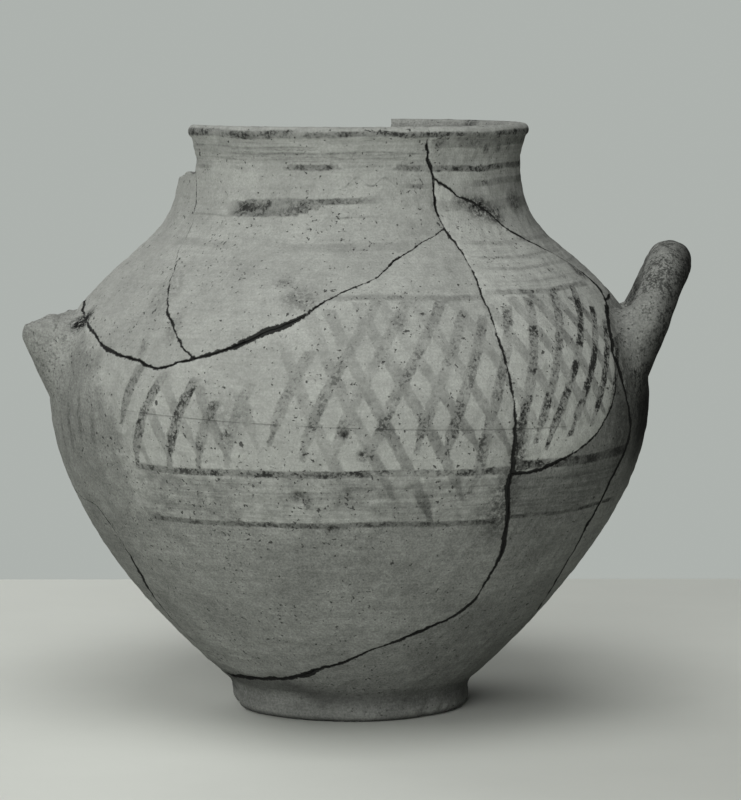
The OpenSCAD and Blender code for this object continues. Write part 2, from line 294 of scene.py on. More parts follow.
# Joins, free breaks and rims, each from one meeting point to the next
LINES = {
    "neck": [(28, 91.5), (26, 94), (25, 97), (25, 100)],
    "throat": [(29, 83.5), (28, 86), (28, 88.5), (28, 91.5)],
    "shoulder_front": [
        (-30, 63.5), (-26, 64.3), (-22, 65.7), (-18, 67.3), (-14, 68.6), (-9, 70.5), (-6, 72.3),
        (0, 74.3), (5, 75.7), (11, 78.5), (17, 80.3), (23, 82), (29, 83.5)],
    "shoulder_left": [
        (-118, 68.6), (-104, 70.5), (-90, 70), (-80, 69.5), (-73, 68.5), (-66, 66.8), (-60, 65.6),
        (-55, 64.3), (-50, 63.5), (-45, 62.8), (-40, 62), (-36, 62), (-30, 63.5)],
    "neck_left": [
        (-61.8, 92), (-60.2, 89.8), (-57.7, 86.2), (-55.3, 83.2), (-53, 80), (-47.5, 76.5), (-43.6, 73),
        (-41, 70.5), (-38.3, 68.8), (-35.5, 66.8), (-32.8, 64.9), (-30, 63.5)],
    "neck_right": [
        (28, 91.5), (32, 90.5), (36, 89), (43, 87.5), (49, 85.5), (53, 83.5), (58, 82),
        (64, 80.3), (71, 77.7), (75, 75), (76, 73), (73, 70.8)],
    "body_front": [
        (29, 83.5), (31, 80.3), (31, 77.5), (30, 72), (30, 65.7), (30.5, 60), (31, 55), (31, 48), (31, 45)],
    "tongue": [
        (31, 45), (35, 45), (38, 45.5), (42, 46.5), (46, 47.5), (51, 49.7), (55, 52.8), (58, 55.5),
        (59.5, 59), (61, 63)],
    "short": [(61, 63), (64, 66.6), (73, 70.8)],
    "right": [
        (61, 63), (62, 59), (64, 53.7), (66, 49.4), (64, 44.6), (62, 41), (61, 37), (61, 29.7),
        (63, 24.8), (67, 20), (76, 15), (88, 11)],
    "base_front": [
        (31, 45), (31, 42.3), (32, 39), (33, 35), (34, 31), (33, 25.5), (32, 22.6), (28, 20), (21, 18),
        (15, 16.3), (6, 14), (-2, 11.8), (-13, 9.9), (-22, 8.4), (-35, 7.4), (-59, 6.6), (-66, 6.4)],
    "left": [
        (-66, 6.4), (-65, 13), (-64, 20.5), (-60, 27), (-60, 32), (-63, 36.5), (-72, 37.5),
        (-84, 39), (-98, 42), (-113, 48), (-119, 58), (-118, 68.6)],
    "neck_back": [(73, 70.8), (84, 71.5), (98, 72), (112, 71), (126, 72), (140, 71.5)],
    "back_upright": [(140, 71.5), (138, 77), (141, 82.3)],
    "rim_back": [(141, 82.3), (136, 89), (133, 94.5), (130, 100)],
    "rim_root": [(141, 82.3), (150, 83.5), (160, 85), (171, 85.7)],
    "shoulder_back": [(242, 68.6), (240, 75), (246, 82), (244, 87.5), (248, 90.3)],
    "belly_right": [(140, 71.5), (152, 70.3), (168, 68.6)],
    "belly_left": [(168, 68.6), (185, 69.5), (205, 68), (225, 69), (242, 68.6)],
    "back": [
        (168, 68.6), (162, 61.5), (166, 54), (159, 46), (163, 37), (156, 28.5), (160, 20), (155, 13),
        (158, 8)],
    "base_right": [(88, 11), (100, 8.6), (115, 9.4), (130, 7.7), (145, 8.9), (158, 8)],
    "base_back": [
        (158, 8), (175, 9.4), (195, 7.7), (215, 9.1), (235, 7.4), (255, 8.6), (275, 6.9), (294, 6.4)],
    "crest_front": [(25, 100), (-62.5, 100)],
    "crest_right": [(130, 100), (25, 100)],
    "crest_back": [(165.5, 100), (130, 100)],
    "lost_front": [(-62.5, 100), (-61.6, 97), (-61.8, 92)],
    "lost_left": [(-61.8, 92), (-72, 91.4), (-84, 90.7), (-98, 90.2), (-112, 90.3)],
    "lost_rear": [(248, 90.3), (234, 89.5), (220, 90.8), (206, 89), (192, 90), (180, 88), (171, 85.7)],
    "lost_back": [(171, 85.7), (170, 88), (170, 92), (165.5, 97), (165.5, 100)],
}

# Half width of a join and size of the chips along it, in mm, where they differ from the usual
USUAL_JOIN = (0.2, 0.45)
JOIN_WEAR = {
    "shoulder_front": (0.36, 0.9),
    "shoulder_left": (0.4, 0.3),
    "neck_left": (0.12, 0.3),
    "neck": (0.28, 0.9),
    "throat": (0.36, 0.6),
    "neck_right": (0.2, 0.3),
    "short": (0.45, 0.6),
    "body_front": (0.08, 0.2),
    "tongue": (0.22, 0.3),
    "base_front": (0.42, 0.25),
    "right": (0.5, 0.6),
    "left": (0.16, 0.2),
    "rim_back": (0.6, 1.0),
}

# How much cleaner than the usual an edge is, as mm of dirt that it lacks
CLEAN_EDGES = {
    "neck_left": 0.2, "left": 0.7, "body_front": 0.35, "shoulder_front": 0.4, "base_front": -0.3,
    "lost_front": 1.2, "lost_left": 1.4, "lost_rear": 1.2, "lost_back": 1.2}

# Smears of dirt along an edge: angle, half width, height, half height, and mm of dirt more than the usual
SMEARS = {
    "neck": [(26, 20, 330, 30, 0.4)],
    "neck_right": [(45, 7, 303, 12, 0.7), (62, 12, 281, 14, 0.9), (78, 6, 256, 9, 2.6)],
    "short": [(66, 20, 235, 30, 1.2)],
    "tongue": [(57, 7, 190, 20, 0.5), (35, 8, 158, 9, 0.9)],
    "right": [(63, 12, 160, 50, 0.9)],
    "body_front": [(31, 9, 166, 26, 1.1), (30, 4, 285, 16, 0.3)],
    "base_front": [
        (32, 9, 150, 14, 0.7), (34, 9, 115, 18, 0.3), (-16, 7, 31, 8, 0.8), (-42, 18, 26, 10, 0.7)],
    "shoulder_front": [(-17, 11, 236, 20, 1.4)],
    "left": [(-62, 9, 86, 16, 2.2)],
}

# Middle and half width, in degrees, of the widest stretch of the join across the front of the shoulder
WIDEST, WIDEST_HALF = -18, 10

# Heights in mm between which the joins come to be filled, at the lip
FILLED_FROM, FILLED_TO = 339, 344

# Edges of each sherd in order, anticlockwise seen from outside; a minus sign turns an edge round
SHERDS = {
    "front_neck_sherd": ["shoulder_front", "throat", "neck", "crest_front", "lost_front", "neck_left"],
    "right_neck_sherd": ["neck_right", "neck_back", "back_upright", "rim_back", "crest_right", "-neck"],
    "rear_rim_sherd": ["rim_root", "lost_back", "crest_back", "-rim_back"],
    "left_shoulder_sherd": ["shoulder_left", "-neck_left", "lost_left", "-shoulder_back"],
    "right_shoulder_sherd": ["tongue", "short", "-neck_right", "-throat", "body_front"],
    "rear_shoulder_sherd": [
        "belly_right", "belly_left", "shoulder_back", "lost_rear", "-rim_root", "-back_upright"],
    "front_body_sherd": ["-base_front", "-body_front", "-shoulder_front", "-shoulder_left", "-left"],
    "right_rear_sherd": ["base_right", "-back", "-belly_right", "-neck_back", "-short", "right"],
    "rear_left_sherd": ["base_back", "left", "-belly_left", "back"],
    "base_sherd": ["-tongue", "base_front", "-base_back", "-base_right", "-right"],
}

ADHESIVES = {
    "neck_adhesive": ["neck", "throat", "rim_back", "rim_root"],
    "shoulder_adhesive": ["shoulder_front", "shoulder_left", "neck_left", "neck_right"],
    "body_adhesive": ["body_front", "tongue", "short", "right", "left"],
    "base_adhesive": ["base_front", "base_right", "base_back"],
    "rear_adhesive": ["neck_back", "back_upright", "shoulder_back", "belly_right", "belly_left", "back"],
}

# Firing tone of each sherd against the rest, and how far it stands proud of its neighbours, in mm
SHERD_TONE = {
    "front_neck_sherd": 0.95,
    "base_sherd": 0.82,
    "right_rear_sherd": 0.95,
    "rear_left_sherd": 0.95,
    "left_shoulder_sherd": 0.92,
    # The right shoulder sherd is paler by itself, and paler still as painted light from above on the right.
    "right_shoulder_sherd": 1.2,
    "rear_rim_sherd": 1.1,
}
SHERD_PROUD = {
    "front_neck_sherd": 0.25,
    "right_neck_sherd": -0.25,
    "left_shoulder_sherd": -0.3,
    "right_shoulder_sherd": 0.15,
    "rear_rim_sherd": 0.3,
    "right_rear_sherd": -0.35,
    "base_sherd": -0.3,
    "rear_shoulder_sherd": 0.2,
}

# Share of the pale slip that a sherd has kept, and the sherds that the legs' clay has spread over
SHERD_SLIP = {"base_sherd": 0.25, "right_rear_sherd": 0.5}
SEAT_SHERDS = ("front_body_sherd", "right_rear_sherd", "rear_left_sherd", "base_sherd")


def through(points, step):
    """Smooth line through points: a cubic between each two, sloped at a point as its neighbours lie."""
    knots = np.concatenate([[0], np.cumsum(np.linalg.norm(np.diff(points, axis=0), axis=1))])
    slopes = np.gradient(points, knots, axis=0)
    along = np.linspace(0, knots[-1], max(int(knots[-1] / step), 4) + 1)
    i = np.clip(np.searchsorted(knots, along, "right") - 1, 0, len(knots) - 2)
    span = (knots[i + 1] - knots[i])[:, None]
    t = (along - knots[i])[:, None] / span
    start = (2 * t ** 3 - 3 * t ** 2 + 1) * points[i] + (t ** 3 - 2 * t ** 2 + t) * span * slopes[i]
    return start + (3 * t ** 2 - 2 * t ** 3) * points[i + 1] + (t ** 3 - t ** 2) * span * slopes[i + 1]


def left_of(angle, run, closed):
    """Unit vector to the left of a line on the wall, as (part round the pot, part up the profile)."""
    if closed:
        turn = wrapped(np.roll(angle, -1) - np.roll(angle, 1))
        climb = np.roll(run, -1) - np.roll(run, 1)
    else:
        turn, climb = np.gradient(angle), np.gradient(run)
    across = turn * radius_at(run)
    length = np.maximum(np.hypot(across, climb), 1e-6)
    return -climb / length, across / length


def broken_line(name, index):
    """One edge of a sherd: a smooth line, jagged by wandering sideways at three pitches.

    It carries the half width of the join, the chips on its two sides and its cleanness, all of them in mm.
    On the lip the join is filled, so that it is narrow and clean there.
    """
    rng = np.random.default_rng(SEED + index)
    points = np.array(LINES[name], float)
    run = run_at(points[:, 1] * POT_H / 100)
    run[points[:, 1] >= 100] = RUN_TOP
    flat_r = radius_at(run).mean()
    path = through(np.column_stack([np.radians(points[:, 0]) * flat_r, run]), EDGE_STEP)
    angle, run = path[:, 0] / flat_r, np.minimum(path[:, 1], RUN_TOP)
    length = np.arange(len(run)) * EDGE_STEP
    rim = name.startswith("crest")
    lost = name.startswith("lost")
    taper = grade(np.minimum(length, length[-1] - length), 0, 6)
    jag = 0.35 * wander(length, 14, rng) + 0.2 * wander(length, 5, rng) + 0.15 * wander(length, 2, rng)
    jag *= taper * (0 if rim else 2.2 if lost else 1)
    aside, up = left_of(angle, run, False)
    angle = angle + aside * jag / radius_at(run)
    run = np.where(taper > 0, np.minimum(run + up * jag, RUN_TOP), run)
    half, chip = JOIN_WEAR.get(name, USUAL_JOIN)
    gap = half * (1 + 0.35 * wander(length, 9, rng)).clip(0.45, 1.9) * (0 if rim or lost else 1)
    chips = [chip * (wander(length, 7, rng) + 0.5 * wander(length, 2.6, rng) - 0.35).clip(0, 1.6) * taper
             for side in (0, 1)]
    if name == "shoulder_front":
        worst = hump(np.degrees(angle), WIDEST, WIDEST_HALF, 4) * taper
        chips = [side * (0.12 + 0.88 * worst) + worst * (0.2 + 0.6 * wander(length, 2.7, rng)).clip(0, 2)
                 for side in chips]
        gap = gap * (0.25 + 1.05 * worst)
    filled = grade(height_at(run), FILLED_FROM, FILLED_TO)
    gap = gap * (1 - 0.8 * filled)
    chips = [side * (0 if rim else 1) * (1 - filled) for side in chips]
    clean = np.full(len(run), 99.0) if rim else CLEAN_EDGES.get(name, 0.15) + 0.2 * wander(length, 16, rng)
    clean = clean + 1.2 * filled
    for place, wide, level, tall, more in SMEARS.get(name, []):
        clean = clean - more * hump(np.degrees(angle), place, wide) * hump(height_at(run), level, tall)
    return {"angle": angle, "run": run, "gap": gap, "left": chips[0], "right": chips[1], "clean": clean}


EDGES = {name: broken_line(name, index) for index, name in enumerate(LINES)}


def turned_round(edge):
    """The same edge walked from its other end, so that left and right change places."""
    flipped = {key: values[::-1] for key, values in edge.items()}
    flipped["left"], flipped["right"] = flipped["right"], flipped["left"]
    return flipped


def outline_of(names):
    """Closed outline of a sherd: its edges end to end, each without its last point."""
    edges = [turned_round(EDGES[name[1:]]) if name[0] == "-" else EDGES[name] for name in names]
    outline = {key: np.concatenate([edge[key][:-1] for edge in edges]) for key in edges[0]}
    outline["angle"] = np.unwrap(outline["angle"])
    crest = outline["run"] >= CREST_RUN
    aside, up = left_of(outline["angle"], outline["run"], True)
    outline["aside"] = np.where(crest, np.where(np.abs(aside) > 0.3, np.sign(aside), 0), aside)
    outline["up"] = np.where(crest, 0, up)
    outline["gap"] = np.where(crest & (outline["aside"] != 0), USUAL_JOIN[0], outline["gap"])
    return outline


def drawn_in(outline, distance):
    """The outline moved by a distance in mm to its left, towards the middle of the sherd."""
    angle = outline["angle"] + outline["aside"] * distance / radius_at(outline["run"])
    return angle, outline["run"] + outline["up"] * distance


# Sheets of triangles over an outline


def depths_inside(points, edge, clean):
    """For each point: the distance to the outline, less than zero outside, and to the nearest dirty edge.

    A point is inside where a level line from it crosses the outline an odd number of times.
    """
    depth, to_break = np.empty(len(points)), np.empty(len(points))
    tail = np.roll(edge, -1, axis=0)
    rise = tail[:, 1] - edge[:, 1]
    rise = np.where(rise == 0, 1e-9, rise)
    for block in np.array_split(np.arange(len(points)), max(len(points) // 3000, 1)):
        x, y = points[block, 0:1], points[block, 1:2]
        squared = (x - edge[:, 0]) ** 2 + (y - edge[:, 1]) ** 2
        level = (edge[:, 1] > y) != (tail[:, 1] > y)
        crossing = edge[:, 0] + (y - edge[:, 1]) / rise * (tail[:, 0] - edge[:, 0])
        inside = (level & (x < crossing)).sum(axis=1) % 2 == 1
        away = np.sqrt(squared)
        depth[block] = away.min(axis=1) * np.where(inside, 1, -1)
        to_break[block] = (away + clean).min(axis=1)
    return depth, to_break


def sheet(angle, run, clean, step, disc):
    """Triangles that fill an outline: its own points and a hexagonal grid inside it.

    The flat map is (angle times mean radius, run), or for a disc the run laid out as rays from the axis.
    """
    flat_r = radius_at(run).mean()
    if disc:
        edge = np.column_stack([run * np.sin(angle), -run * np.cos(angle)])
    else:
        edge = np.column_stack([angle * flat_r, run])
    low, high = edge.min(axis=0), edge.max(axis=0)
    columns = np.arange(low[0], high[0], step)
    rows = np.arange(low[1], high[1], step * math.sqrt(3) / 2)
    grid = np.stack(np.meshgrid(columns, rows), axis=-1)
    grid[1::2, :, 0] += step / 2
    grid = grid.reshape(-1, 2)
    grid += np.random.default_rng(SEED).uniform(-0.16, 0.16, grid.shape) * step
    depth, to_break = depths_inside(grid, edge, clean)
    kept = depth > 0.6 * min(step, 2)
    points = np.vstack([edge, grid[kept]])
    ring = np.arange(len(edge))
    sides = np.column_stack([ring, np.roll(ring, -1)]).tolist()
    made = delaunay_2d_cdt(list(map(Vector, points)), sides, [], 1, 1e-6)
    flat = np.array(made[0])
    triangles = np.array(made[2])
    a, b, c = (flat[triangles[:, i]] for i in range(3))
    clockwise = (b - a)[:, 0] * (c - a)[:, 1] < (b - a)[:, 1] * (c - a)[:, 0]
    triangles[clockwise] = triangles[clockwise][:, ::-1]
    if disc:
        triangles = triangles[:, ::-1]
        angle, run = np.arctan2(flat[:, 0], -flat[:, 1]), np.hypot(flat[:, 0], flat[:, 1])
    else:
        angle, run = flat[:, 0] / flat_r, flat[:, 1]
    distance = np.zeros(len(flat))
    distance[len(edge):len(points)] = to_break[kept]
    distance[:len(edge)] = clean
    return {"angle": angle, "run": np.clip(run, 0, RUN_TOP), "triangles": triangles, "edge": distance}


# Handles: a leg's frame, its roll and its seat in the wall


def leg_frame(side, slope, press, askew):
    """Root of a handle's middle plane on the wall, and its unit vectors outwards, across and up the slope.

    The loop was set a little askew, so that its rear leg stands further out than its front one.
    """
    tilt, turn = math.radians(slope), math.radians(askew)
    out = math.sqrt(wall_radius(ROOT_Z) ** 2 - LEG_OFFSET ** 2) - press
    root = np.array([side * out, 0, ROOT_Z])
    level = np.array([side * math.cos(turn), -math.sin(turn), 0])
    across = np.array([side * math.sin(turn), math.cos(turn), 0])
    upright = np.array([0, 0, 1.0])
    outwards = math.sin(tilt) * level - math.cos(tilt) * upright
    upwards = math.cos(tilt) * level + math.sin(tilt) * upright
    return root, outwards, across, upwards


RIGHT_FRAME = leg_frame(1, RIGHT_SLOPE, RIGHT_PRESS, RIGHT_TURN)
LEFT_FRAME = leg_frame(-1, LEFT_SLOPE, LEFT_PRESS, LEFT_TURN)
LEGS = [(RIGHT_FRAME, -1), (RIGHT_FRAME, 1), (LEFT_FRAME, -1), (LEFT_FRAME, 1)]
SPREAD = (ROOT_R - ROLL_R) / ROOT_TAPER


def leg_spread(along):
    """Extra radius of a leg at a length past its root: a straight taper with a soft start."""
    return SPREAD * TAPER_SOFT * np.logaddexp(0, (ROOT_TAPER - along) / TAPER_SOFT)


def leg_sides(points, leg):
    """Distance in mm from points to a leg's skin, and their side of it: 1 outside, 0 beside, -1 inside.

    The skin leans in by as much as it spreads. The leg ends a little below its root, and a stub in a dome.
    """
    (root, outwards, across, upwards), side = leg
    local = points - root - side * LEG_OFFSET * across
    along = local @ upwards
    spread = leg_spread(np.maximum(along, -LEG_END))
    out = local @ outwards + spread
    past = np.minimum(along + LEG_END, 0)
    if leg[0] is LEFT_FRAME:
        past = past + np.maximum(along - STUB_LEN[side] + ROLL_R, 0)
    away = np.maximum(np.hypot(np.hypot(out, local @ across), past), 1e-6)
    return away - ROLL_R - spread, out / away


def collar(angle, run):
    """Clay smeared up against the legs: the lift in mm at which the wall meets a soft union with each leg.

    At a lift t with a clearance c the union is the lesser of the two, less a square over four widths: the
    square of what the blend's width exceeds their difference by. Halving finds the lift where it is nothing.
    """
    lift = np.zeros(len(angle))
    for leg in LEGS:
        gap, facing = leg_sides(wall_points(angle, run, 0, 0 * run), leg)
        near = np.flatnonzero(gap < COLLAR_REACH)
        inner = INNER_BLEND_RIGHT if leg[0] is RIGHT_FRAME else INNER_BLEND_LEFT
        width = np.interp(facing[near], [-1, -0.3, 0.4, 1], [inner, 14, 11, 4])

        def in_clay(rise):
            gap = leg_sides(wall_points(angle[near], run[near], 0, rise), leg)[0] + COLLAR_UNDER
            return np.minimum(rise, gap) < np.maximum(width - np.abs(rise - gap), 0) ** 2 / (4 * width)

        low = halving(in_clay, np.zeros(len(near)), np.full(len(near), COLLAR_MOST), 24)[0]
        lift[near] = np.maximum(lift[near], low)
    return lift


# Middle of a spot on the right handle's root that hands have rubbed pale, in mm
RUBBED_SPOT = np.array([165.0, -57.0, 231.0])


def rubbing(points):
    """Share of its dark grains that handled clay keeps: few of them in the pale spot."""
    return 1 - 0.85 * hump(np.linalg.norm(points - RUBBED_SPOT, axis=1), 0, 10)


def handled(points):
    """Share of handled clay on the wall: all of it close to a leg, none of it 18 mm away."""
    gap = np.min([leg_sides(points, leg)[0] for leg in LEGS], axis=0)
    return grade(gap, 18, 4)


# Painted decoration, as distances in mm from the edges of the paint

# Bands: height and half thickness in mm, from angle, to angle, strength
BANDS = [
    # The first two bands, under the lip, are dark paint and also painted shade under the lip's roll.
    (346.0, 2.3, -66, -16, 0.95),
    (345.6, 1.7, -16, 168, 0.95),
    (338.5, 0.5, -60, -8, 0.6),
    (335.0, 0.6, -44, 24, 0.6),
    (340.5, 3.0, 26, 166, 0.7),
    (331.5, 0.4, -58, 20, 0.4),
    (327.0, 1.9, -21, -3, 0.9),
    (327.0, 0.8, -3, 14, 0.35),
    (326.6, 1.8, 14.5, 25, 0.9),
    (326.0, 1.8, 26, 166, 1.0),
    (326.6, 1.0, -42, -36, 0.4),
    (326.0, 1.2, -60, -52, 0.6),
    (317.5, 2.0, 45, 120, 0.7),
    (316.3, 1.4, 18, 25, 0.8),
    (307.4, 1.9, -37, 7.5, 0.85),
    (305.4, 2.6, -38, -8, 1.0),
    (303.2, 2.6, -38.5, -11, 1.0),
    (301.0, 2.2, -39.5, -14, 0.95),
    (304.5, 3.0, 28, 130, 0.5),
    (298.5, 0.5, -56, -40, 0.6),
    (298.0, 0.5, -6, 7, 0.7),
    (283.0, 2.2, -60, -34, 0.3),
    (281.5, 2.4, -18, 16, 0.3),
    (284.0, 1.2, 34, 150, 0.45),
    (276.0, 0.7, 34, 150, 0.45),
    (270.0, 0.9, 34, 150, 0.4),
    (263.0, 0.6, 34, 150, 0.4),
    (255.5, 1.5, -3, 31, 0.55),
    (257.5, 1.4, 32, 69, 0.7),
    (160.0, 2.1, -43, 31, 0.95),
    (162.0, 2.8, 31, 66, 1.0),
    (153.0, 0.7, 33, 66, 0.6),
    (130.0, 1.7, -42, 31, 0.9),
    (131.5, 1.3, 31, 68, 0.95),
    (255.5, 1.6, 120, 240, 0.5),
    (160.0, 2.4, 116, 238, 0.75),
    (130.0, 2.2, 114, 236, 0.75),
]

# Wavy lines: the same, with the wave's height and length in mm
WAVES = [
    (318.0, 0.5, -3.5, 14.5, 0.6, 2.6, 16),
]

# Strokes of the lattice between its upper and lower line:
# angle at the upper line, angle at the lower line, upper end and lower end in mm, strength
LATTICE_TOP, LATTICE_FOOT = 255.0, 160.0
RISING = [
    (-35.5, -47, 217, 182, 0.75), (-25.2, -42.7, 214, 159, 0.95), (-18.9, -34.7, 212, 160, 0.95),
    (-12, -28.5, 200, 161, 0.75), (-9.6, -22.7, 210, 162, 0.45), (-1.6, -15.1, 228, 176, 0.6),
    (5.9, -8.7, 255, 167, 0.75), (12.3, -3.2, 256, 166, 0.65), (19.9, 3.4, 255, 168, 0.8),
    (25.4, 11.3, 249, 171, 0.75), (30, 17.1, 246, 166, 0.8), (35.8, 24.1, 250, 147, 0.8),
    (42, 31.1, 254, 160, 0.9), (50.9, 34.7, 258, 174, 0.95), (59.5, 37.6, 258, 170, 1.05),
    (65.4, 42.6, 246, 176, 1.05), (69.6, 48.1, 238, 180, 1.05), (74, 53, 228, 186, 0.95),
]
FALLING = [
    (-56.4, -39.1, 178, 160, 0.4), (-47.5, -33.5, 194, 164, 0.45), (-44.5, -26.2, 212, 168, 0.5),
    (-35.4, -21.1, 210, 166, 0.5), (-25.2, -15.1, 205, 174, 0.3), (-16, -2, 232, 146, 0.4),
    (-9.3, 5.7, 250, 145, 0.5), (-5.2, 11, 250, 128, 0.65), (1.4, 18.6, 254, 143, 0.62),
    (6.1, 26.2, 256, 168, 0.55), (13.3, 32.1, 256, 168, 0.55), (22, 40, 254, 176, 0.5),
    (29.5, 46, 252, 180, 0.5), (36.8, 53, 255, 182, 0.55), (43.4, 58, 256, 186, 0.6),
    (50, 64, 257, 196, 0.6), (56, 70, 252, 206, 0.6),
]
RISING_HALF, FALLING_HALF = 3.1, 3.3
RISING_FADE, FALLING_FADE = 0.3, 0.56
RISING_BOW, FALLING_BOW = 1.6, 1.0

# Strokes on the back, in degrees: from one to the next, and the lean of each to a side
BACK_PITCH, BACK_LEAN = 6.6, 8.2


def back_strokes(lean):
    """Strokes for the back by rule: at an even pitch, each a little off its place."""
    rng = np.random.default_rng(SEED + (1 if lean > 0 else 2))
    strokes = []
    for middle in np.arange(126, 234, BACK_PITCH):
        top = middle + lean + rng.normal(0, 1)
        foot = middle - lean + rng.normal(0, 1)
        strokes.append((top, foot, rng.uniform(235, 256), rng.uniform(155, 176), rng.uniform(0.25, 0.6)))
    return strokes


def band_paint(angle, height, radius):
    """Offset of each point from the middle of its nearest band or wavy line, that line's half and strength.

    The strength fades over the last few mm of a line, and is nothing far from it.
    """
    offset, deepest = np.full(len(angle), 20.0), np.full(len(angle), -40.0)
    halves, tone = np.zeros(len(angle)), np.zeros(len(angle))
    waver = 0.5 * np.sin(5 * angle + 1) + 0.35 * np.sin(13 * angle)
    for middle, half, start, end, strength, swing, pitch in [(*band, 0, 1) for band in BANDS] + WAVES:
        centre, reach = math.radians((start + end) / 2), math.radians((end - start) / 2)
        ends = grade((reach - np.abs(wrapped(angle - centre))) * radius, -6, 6)
        away = height - middle - waver - swing * np.sin(2 * np.pi * angle * radius / pitch)
        depth = half - np.abs(away) - 9 * (1 - ends)
        nearer = depth > deepest
        deepest = np.maximum(deepest, depth)
        offset = np.where(nearer, away, offset)
        halves = np.where(nearer, half, halves)
        close = grade(np.abs(away) - half, 1.92, 0.72)
        tone = np.where(nearer, strength * ends * close, tone)
    return offset, halves, tone


def stroke_paint(angle, height, radius, strokes, half, bow, fade):
    """Distance inside the nearest stroke, and its strength.

    A stroke's angle goes from its foot to its top as the height's share of the lattice, bent by bow. On the
    front the paint has worn off towards the top, where it has lost a share, fade, of its strength.
    """
    best = np.full(len(angle), -20.0)
    tone = np.zeros(len(angle))
    share = np.clip((height - LATTICE_FOOT) / (LATTICE_TOP - LATTICE_FOOT), -0.5, 1.05)
    bent = np.sign(share) * np.abs(share) ** bow
    for top, foot, upper, lower, strength in strokes:
        middle = np.radians(foot + (top - foot) * np.where(share < 0, share, bent))
        aside = np.abs(wrapped(angle - middle)) * radius * 0.87
        taper = np.maximum(grade(height, lower, lower + 14), 0.5)
        inside = np.minimum(half * taper - aside, np.minimum(upper - height, height - lower))
        tone = np.where(inside > best, strength, tone)
        best = np.maximum(best, inside)
    return best, tone * (1 - fade * hump(np.degrees(angle), -6, 42, 6) * grade(share, 0.35, 0.8))


def off_face(degrees):
    """Degrees from the middle of the front or of the back, whichever is nearer."""
    return np.minimum(np.abs(degrees), 180 - np.abs(degrees))


def slip_cover(angle, height, radius):
    """Share of pale slip: full on neck, shoulder and a panel on each face, thin below the lattice."""
    degrees = np.degrees(angle)
    side = np.where(degrees < 0, 46 + 0.0045 * np.clip(height - 165, 0, 99) ** 2, 66)
    aside = grade(np.radians(side - off_face(degrees)) * radius, -13, 13)
    down = 0.48 * grade(height, 128, 132) + 0.52 * grade(height, 156, 164)
    return np.maximum(np.minimum(aside, down), grade(height, 222, 244))


def brushing(angle, height):
    """Strength of the level brush lines: most in the zone under the lattice, less elsewhere."""
    degrees = np.degrees(angle)
    zone = hump(height, 145, 14, 6) * grade(np.where(degrees < 0, 46, 68) - off_face(degrees), 0, 6)
    lip = 0.55 * hump(height, 335, 9, 4)
    shoulder = 0.4 * hump(height, 275, 17, 4) * (np.abs(degrees - 62) < 32)
    low = 0.42 * grade(height, 132, 126)
    return np.maximum.reduce([zone, lip, shoulder, low, np.full(len(angle), 0.24)])


# Stains and spots of glue: angle, height, half width, half height in mm, strength
STAINS = [
    (39, 307, 7, 3.5, 0.7), (45, 303, 9, 6, 1.0), (51, 299, 8, 5, 0.9),
    (50, 336, 2.4, 2, 0.7), (57, 336.5, 2.6, 2.2, 0.7), (64, 336.5, 2.6, 2.2, 0.7),
    (68, 305, 9, 6, 0.75), (-44, 258, 9, 12, 0.3), (-22.7, 192, 12, 12, 0.3), (-10.7, 254.6, 9, 5, 0.5),
    (72, 264, 5, 4, 0.9), (132, 347, 5, 5, 0.9), (-69.5, 236, 5.5, 6, 1.4),
    (-60, 183, 2, 12, 0.5), (-65, 178, 2, 12, 0.5), (-55, 176, 2, 9, 0.45), (-70, 170, 2, 14, 0.4),
    (-9.5, 147, 3.5, 3, 0.7), (-8, 144, 2, 4, 0.7), (-3.4, 128, 4, 2.2, 0.95), (-1, 183, 2.6, 2.6, 0.95),
    (2.2, 171, 2.6, 2.6, 0.95), (-22.5, 181, 3.5, 1.5, 0.9), (-15, 263, 5, 2, 0.5), (-43, 226, 3, 5, 0.5),
    (10, 243, 4, 4, 0.45), (-57, 216, 9, 6, 0.3), (30.2, 140, 8, 20, 0.75), (32, 172, 5, 18, 0.75),
    # The stains from 62 to 84 degrees, under the right handle's root, are dirt and also painted shade there.
    (-37, 238, 4, 7, 0.35), (62, 175, 9, 22, 0.5), (67, 190, 8, 20, 0.5), (73, 182, 12, 26, 0.7),
    (78, 192, 10, 20, 0.7), (27, 133, 9, 11, 0.4), (64, 205, 4, 16, 0.6), (84, 200, 14, 12, 0.5),
]


def stains_on(angle, height, radius):
    """Strongest stain at each point: one less the elliptical distance, so that the edges can be ragged."""
    best = np.zeros(len(angle))
    for place, level, wide, tall, strength in STAINS:
        across = wrapped(angle - math.radians(place)) * radius / wide
        up = (height - level) / tall
        best = np.maximum(best, strength * grade(np.hypot(across, up), 1.6, 0.6))
    return best


# Spalls where the surface has flaked: angle, height, radius and depth in mm
SPALLS = [
    (-37.5, 231, 6, 0.7), (-34.5, 226, 5, 0.6), (-9, 146, 5, 1.6), (-3.4, 128, 3, 0.9), (-1, 183, 2.4, 0.9),
    (2.2, 171, 2.4, 0.9), (24, 341, 5, 0.8), (-8, 345, 4, 0.8), (-20, 346, 3, 0.6), (60, 118, 4, 0.7),
    (48, 96, 4, 0.6), (-22, 84, 4, 0.5), (118, 230, 6, 0.9), (205, 190, 8, 0.9), (262, 120, 6, 0.7),
]


def pitting(angle, height, radius):
    """Depth of spalls and of seeded pits in mm: a rounded hollow for each, where it is deepest."""
    rng = np.random.default_rng(SEED + 7)
    count = 160
    pits = np.column_stack([rng.uniform(-180, 180, count), rng.uniform(25, 345, count),
                            rng.uniform(1.3, 3.2, count), rng.uniform(0.15, 0.5, count)])
    depth = np.zeros(len(angle))
    for place, level, size, deep in np.vstack([SPALLS, pits]):
        across = wrapped(angle - math.radians(place)) * radius
        near = np.hypot(across, height - level) / size
        depth = np.maximum(depth, deep * (1 - near ** 2))
    return depth


# Meshes


